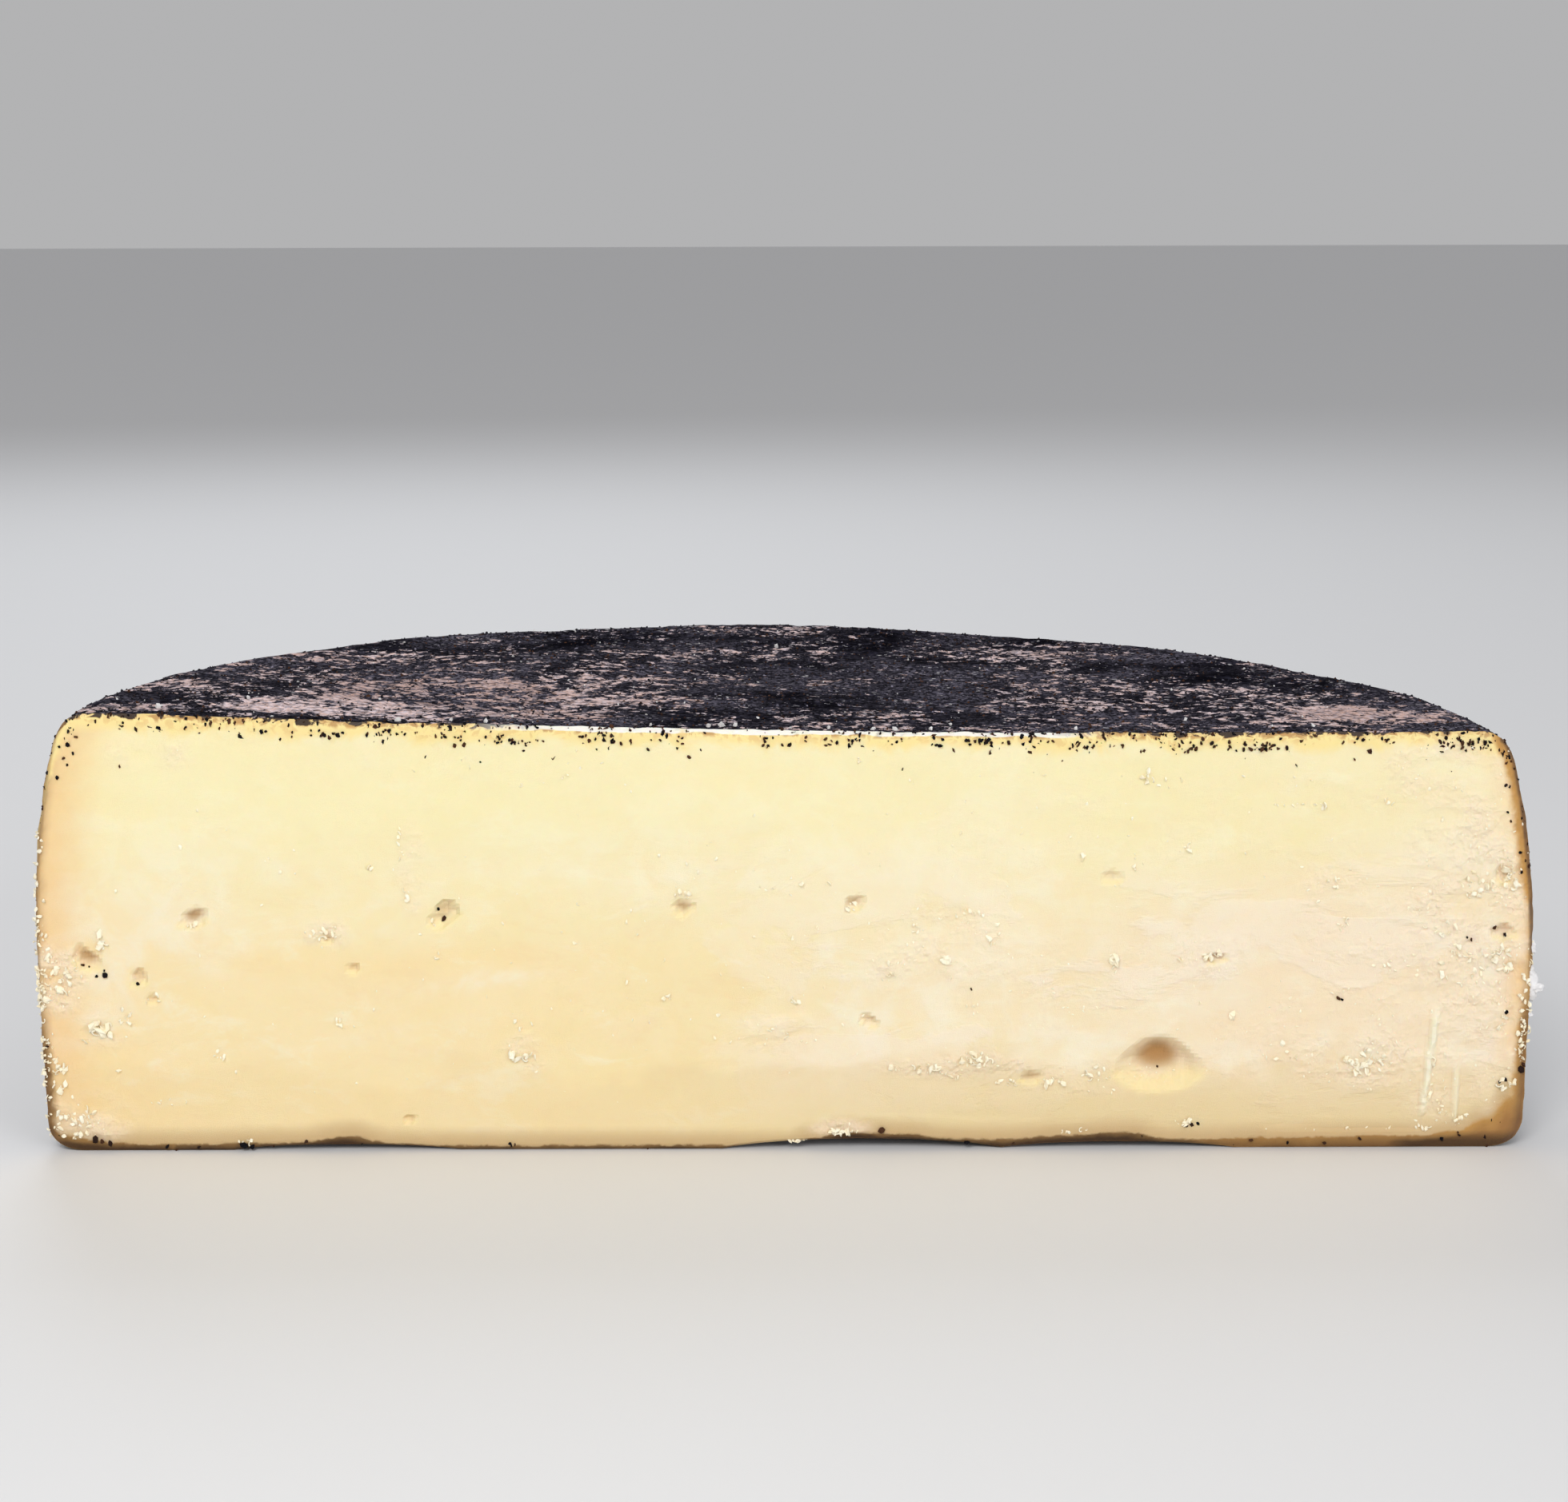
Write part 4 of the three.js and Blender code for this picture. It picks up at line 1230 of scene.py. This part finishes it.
class CHEESE_OT_half_wheel(bpy.types.Operator):
    """Make the half wheel's body: the cut with its eyes and tears, and the rind"""

    bl_idname = "cheese.half_wheel"
    bl_label = "Half Wheel"

    def execute(self, context):
        wheel = Wheel(context.scene.cheese_shape)
        cells = tuple(context.scene.cheese_shape.cells)
        places, faces, parts, on_cut, on_rim = wheel_mesh(wheel, cells)
        mesh = bpy.data.meshes.new("cheese_body")
        mesh.from_pydata(to_frame(places).tolist(), [], faces)
        normals = np.zeros(len(places) * 3, np.float32)
        mesh.vertex_normals.foreach_get("vector", normals)
        normals = normals.reshape(-1, 3)
        normals[on_rim, 1] = 0
        normals /= np.maximum(np.linalg.norm(normals, axis=1, keepdims=True), 1e-6)

        relief, masks = cut_relief(wheel, places[on_cut])
        rind = ~on_cut | on_rim
        above_base = smooth(places[:, 2], 0.3, 6)
        rough = 0.34 * clouds(places, 26, 3, 2.2) + 0.26 * clouds(places, 5, 3, 6.4)
        moved = places + np.where(rind, rough * above_base, 0)[:, None] * normals
        moved[on_cut, 1] -= relief * ~on_rim[on_cut]
        mesh.vertices.foreach_set("co", to_frame(moved).astype(np.float32).ravel())

        self.write_masks(mesh, places, on_cut, masks)
        bake_map(mesh, faces, parts, places)
        slots = np.where(parts == "cut", 0, 1).astype(np.int32)
        body = new_object("cheese_body", mesh, materials()["cut_paste"],
                          materials()["rubbed_rind"])
        mesh.polygons.foreach_set("material_index", slots)
        self.sharpen_rim(mesh, slots)
        finish_piece(body)
        return {"FINISHED"}

    def write_masks(self, mesh, places, on_cut, masks):
        """Stores what the materials and the strewn grains read from the surface."""
        for name, value in paste_masks(places[on_cut], masks).items():
            full = np.zeros(len(places))
            full[on_cut] = value
            set_attribute(mesh, name, full)
        for name, value in rind_masks(places, on_cut).items():
            set_attribute(mesh, name, value)

    def sharpen_rim(self, mesh, slots):
        """Keeps the edge between the cut and the rind crisp."""
        starts = np.zeros(len(mesh.polygons), np.int32)
        totals = np.zeros(len(mesh.polygons), np.int32)
        edges = np.zeros(len(mesh.loops), np.int32)
        mesh.polygons.foreach_get("loop_start", starts)
        mesh.polygons.foreach_get("loop_total", totals)
        mesh.loops.foreach_get("edge_index", edges)
        owner = np.repeat(slots, totals)
        touched = np.zeros((len(mesh.edges), 2), bool)
        for slot in (0, 1):
            touched[edges[owner == slot], slot] = True
        sharp = mesh.attributes.new("sharp_edge", "BOOLEAN", "EDGE")
        sharp.data.foreach_set("value", touched.all(axis=1))


# How many strewn grains a square metre holds where their attribute is 1
CUT_GRAINS, FOOT_GRAINS, FLECKS = 520000, 42000, 2400
TORN_CRUMBS, EDGE_CRUMBS = 130000, 700000


def strew(name, where, density, length, seed, material, slot, **more):
    """Strews grains over the body, as thick as one of its attributes says."""
    body = bpy.data.objects["cheese_body"].data
    tree = tree_named("Strewn Grains", strewn_tree)
    mesh = apply_tree(body, tree, name, Where=where, Per_Square_Metre=float(density),
                      Length=length, Seed=seed, Material=material, **more)
    finish_piece(new_object(name, mesh, material))


def place_grains(name, spots, seed, material, slot, **more):
    """Puts grains on the body, nearest to places given in wheel coordinates with a length."""
    body = bpy.data.objects["cheese_body"]
    points, lengths = [], []
    for x, y, z, length in spots:
        target = Vector(to_frame(np.array([x, y, z])))
        found, point, normal, _ = body.closest_point_on_mesh(target)
        if not found:
            raise RuntimeError(f"{name}: no surface near {x}, {y}, {z}")
        points.append(point + normal * (0.12 * length * MM))
        lengths.append(length)
    holder = bpy.data.meshes.new(name + "_spots")
    holder.from_pydata(points, [], [])
    set_attribute(holder, "length", lengths)
    tree = tree_named("Placed Grains", placed_tree)
    mesh = apply_tree(holder, tree, name, Length=MM, Seed=seed, Material=material, **more)
    bpy.data.meshes.remove(holder)
    finish_piece(new_object(name, mesh, material))


class CHEESE_OT_rub_grains(bpy.types.Operator):
    """Strew the coarse grains of the rub over the rind and the top of the cut"""

    bl_idname = "cheese.rub_grains"
    bl_label = "Rub Grains"

    def execute(self, context):
        look = context.scene.rub_look
        radius = context.scene.cheese_shape.radius
        grain = materials()["rub_grain"]
        area = math.pi * radius ** 2 / 2
        side = math.pi * radius * (NODE_HIGH.z - NODE_LOW.z)
        strew("rub_grains_top", "rub_top", look.top_count / area, look.grain, look.seed, grain,
              "rind_rub", Least_Share=0.4, Flatness=0.6, Lift=-0.0001)
        strew("rub_grains_side", "rub_side", look.side_count / side, look.grain, look.seed + 1,
              grain, "rind_rub", Least_Share=0.4, Flatness=0.6, Lift=-0.0001)
        strew("rub_grains_cut", "band", CUT_GRAINS, 1.15 * look.grain, look.seed + 2, grain,
              "rind_rub", Least_Share=0.3, Flatness=0.6, Ragged=0.75, Lift=-0.0001, Palest=0.4)
        strew("rub_grains_foot", "foot_grit", FOOT_GRAINS, 1.1 * look.grain, look.seed + 3, grain,
              "rind_rub", Least_Share=0.3, Flatness=0.7, Ragged=0.7, Lift=-0.0001, Palest=0.4)
        return {"FINISHED"}


class CHEESE_OT_dragged_grains(bpy.types.Operator):
    """Place the dark grains that the knife dragged over the cut"""

    bl_idname = "cheese.dragged_grains"
    bl_label = "Dragged Grains"

    def execute(self, context):
        wheel = Wheel(context.scene.cheese_shape)
        draw = np.random.default_rng(context.scene.rub_look.seed + 5)
        spots = [(x, 0, z, length) for x, z, length in SPECKS]
        for x, depth, half_x, half_z, count, longest in RUB_CLUMPS:
            edge = wheel.settle(np.array([[x, 0, wheel.top_at(abs(x))]]))[0, 2]
            places = draw.uniform(-1, 1, (count, 2)) * (half_x, half_z) + (x, edge - depth)
            lengths = longest * draw.uniform(0.5, 1, count)
            spots += [(px, 0, pz, length) for (px, pz), length in zip(places, lengths)]
        place_grains("dragged_grains", spots, context.scene.rub_look.seed + 60,
                     materials()["rub_grain"], "rind_rub", Least_Share=0.85, Flatness=0.7,
                     Palest=0.45)
        return {"FINISHED"}


class CHEESE_OT_flecks(bpy.types.Operator):
    """Strew pale flecks of salt and dried paste over the rub"""

    bl_idname = "cheese.flecks"
    bl_label = "Pale Flecks"

    def execute(self, context):
        seed = context.scene.rub_look.seed
        fleck = materials()["pale_fleck"]
        strew("pale_flecks", "skin", FLECKS, 0.0009, seed + 20, fleck, "rind_rub",
              Least_Share=0.25, Flatness=0.5, Lift=0.0001)
        wheel = Wheel(context.scene.cheese_shape)
        spots = [(x, y, wheel.rim, length) for x, y, length in TOP_CRUMBS]
        place_grains("top_crumbs", spots, seed + 21, fleck, "rind_rub",
                     Least_Share=0.8, Flatness=0.7)
        return {"FINISHED"}


class CHEESE_OT_shreds(bpy.types.Operator):
    """Place the pale shreds and curls that cling to the cut, and its finest crumbs"""

    bl_idname = "cheese.shreds"
    bl_label = "Shreds and Crumbs"

    def execute(self, context):
        seed = context.scene.rub_look.seed
        crumb = materials()["paste_crumb"]
        draw = np.random.default_rng(seed)
        spots = []
        for x, z, half_x, half_z, count, longest in SHREDS:
            angle = draw.uniform(0, 2 * math.pi, count)
            reach = np.sqrt(draw.uniform(0, 1, count))
            lengths = 1.25 * longest * draw.uniform(0.35, 1, count)
            spots += [(x + half_x * r * math.cos(a), -0.5, z + half_z * r * math.sin(a), size)
                      for a, r, size in zip(angle, reach, lengths)]
        place_grains("paste_shreds", spots, seed + 30, crumb, "cheese_paste",
                     Least_Share=0.7, Flatness=0.55, Ragged=0.6, Curls=True)
        strew("fine_crumbs", "torn", TORN_CRUMBS, 0.00095, seed + 40, crumb, "cheese_paste",
              Least_Share=0.3, Flatness=0.5)
        strew("edge_crumbs", "ragged_edge", EDGE_CRUMBS, 0.0015, seed + 41, crumb, "cheese_paste",
              Least_Share=0.3, Flatness=0.6, Lift=0.0003, Curls=True)
        return {"FINISHED"}


# Lobes of the torn flake: distance past the widest ring, y, z and half sizes, in millimetres
FLAKE_LOBES = (
    (-0.4, 0.8, 38.2, 2.4, 1.2, 4.2), (1.2, 0.4, 37.6, 1.7, 0.8, 1.3), (-0.2, 0.6, 41.6, 1.1, 0.9, 1.5),
    (0.1, 0.9, 47, 1.0, 0.9, 1.6), (0.0, 0.8, 31.5, 0.8, 0.7, 0.9),
)


class CHEESE_OT_torn_flake(bpy.types.Operator):
    """Make the flake that hangs torn from the right edge of the cut"""

    bl_idname = "cheese.torn_flake"
    bl_label = "Torn Flake"

    def execute(self, context):
        edge = context.scene.cheese_shape.radius / MM
        places, faces = [], []
        for past, y, z, *half in FLAKE_LOBES:
            ball = bmesh.new()
            bmesh.ops.create_icosphere(ball, subdivisions=4, radius=1)
            unit = np.array([v.co for v in ball.verts])
            lobe = unit * half + [edge + past, y, z]
            shift = 0.5 * clouds(lobe, 1.5, 4, 1.0) + 0.25 * clouds(lobe, 0.5, 3, 8.0)
            ball.verts.index_update()
            faces += [[v.index + len(places) for v in f.verts] for f in ball.faces]
            places += (lobe + shift[:, None] * unit).tolist()
            ball.free()
        mesh = bpy.data.meshes.new("torn_flake")
        mesh.from_pydata(to_frame(np.array(places)).tolist(), [], faces)
        set_attribute(mesh, "tone", np.zeros(len(places)))
        mesh.shade_smooth()
        finish_piece(new_object("torn_flake", mesh, materials()["pale_fleck"]))
        return {"FINISHED"}


FLOOR_HALF = 25.0
FLOOR_LEVEL = -0.0001
# Lamps: name, place and size in metres, power in watts, and tint
LAMPS = (
    ("key", (-0.3, -1.3, 1.05), 0.7, 14.6, (1.0, 0.985, 0.96)),
    ("fill", (1.8, -2.2, 0.95), 1.3, 25.0, (0.96, 0.98, 1.0)),
    ("back", (-0.3, 1.4, 1.3), 1.0, 10.0, (0.94, 0.97, 1.0)),
)


class CHEESE_OT_stage(bpy.types.Operator):
    """Set the floor, the lights and the camera"""

    bl_idname = "cheese.stage"
    bl_label = "Stage"

    def execute(self, context):
        look = context.scene.stage_look
        self.make_floor(look)
        self.make_lights(context.scene)
        self.make_camera(context.scene, look)
        return {"FINISHED"}

    def make_floor(self, look):
        half, level = FLOOR_HALF, FLOOR_LEVEL
        mesh = bpy.data.meshes.new("floor")
        corners = [(-half, -half, level), (half, -half, level), (half, half, level),
                   (-half, half, level)]
        mesh.from_pydata(corners, [], [(0, 1, 2, 3)])
        material, graph, shader, place = new_material("floor")
        fine = graph.noise(place, 40.0, 3.0)
        graph.put(shader.inputs["Base Color"], graph.mix(
            graph.math("MULTIPLY", fine, 0.06), look.floor, (0.62, 0.62, 0.63)))
        shader.inputs["Roughness"].default_value = 0.6
        new_object("floor", mesh, material)

    def make_lights(self, scene):
        world = bpy.data.worlds.new("studio")
        scene.world = world
        world.use_nodes = True
        world.node_tree.nodes["Background"].inputs["Color"].default_value = (0.90, 0.90, 0.91, 1)
        world.node_tree.nodes["Background"].inputs["Strength"].default_value = 0.5
        aim = Vector((0, NODE_LOW.y, 0.05))
        for name, place, size, power, tint in LAMPS:
            light = bpy.data.lights.new(name, "AREA")
            light.energy, light.size, light.color = power, size, tint
            lamp = bpy.data.objects.new(name, light)
            lamp.location = place
            lamp.rotation_euler = (aim - Vector(place)).to_track_quat("-Z", "Y").to_euler()
            scene.collection.objects.link(lamp)

    def make_camera(self, scene, look):
        camera = bpy.data.cameras.new("camera")
        camera.lens, camera.sensor_width = look.lens, 36.0
        holder = bpy.data.objects.new("camera", camera)
        away = Vector((0, -math.cos(look.pitch), math.sin(look.pitch)))
        target = Vector((0, NODE_LOW.y, look.aim))
        turn = (-away).to_track_quat("-Z", "Y").to_matrix().to_4x4()
        lean = Matrix.Rotation(-look.roll, 4, "Z")
        holder.matrix_world = Matrix.Translation(target + look.distance * away) @ turn @ lean
        scene.collection.objects.link(holder)
        scene.camera = holder
        scene.view_settings.view_transform = "Standard"


class CHEESE_PT_parts(bpy.types.Panel):
    """Lists the pieces of the half wheel"""

    bl_idname = "CHEESE_PT_parts"
    bl_label = "Half Wheel of Cheese"
    bl_space_type = "VIEW_3D"
    bl_region_type = "UI"
    bl_category = "Cheese"

    def draw(self, context):
        for operator in STEPS:
            self.layout.operator(operator.bl_idname)


SETTINGS = {
    "cheese_shape": CheeseShape,
    "paste_look": PasteLook,
    "rub_look": RubLook,
    "stage_look": StageLook,
}
STEPS = (
    CHEESE_OT_half_wheel,
    CHEESE_OT_rub_grains,
    CHEESE_OT_dragged_grains,
    CHEESE_OT_flecks,
    CHEESE_OT_shreds,
    CHEESE_OT_torn_flake,
    CHEESE_OT_stage,
)


def register():
    for kind in (*SETTINGS.values(), *STEPS, CHEESE_PT_parts):
        bpy.utils.register_class(kind)
    for name, kind in SETTINGS.items():
        setattr(bpy.types.Scene, name, bpy.props.PointerProperty(type=kind))


def unregister():
    for name in SETTINGS:
        delattr(bpy.types.Scene, name)
    for kind in (CHEESE_PT_parts, *reversed(STEPS), *reversed(SETTINGS.values())):
        bpy.utils.unregister_class(kind)


def main():
    register()
    for step in STEPS:
        family, name = step.bl_idname.split(".")
        getattr(getattr(bpy.ops, family), name)()


if __name__ == "__main__":
    main()
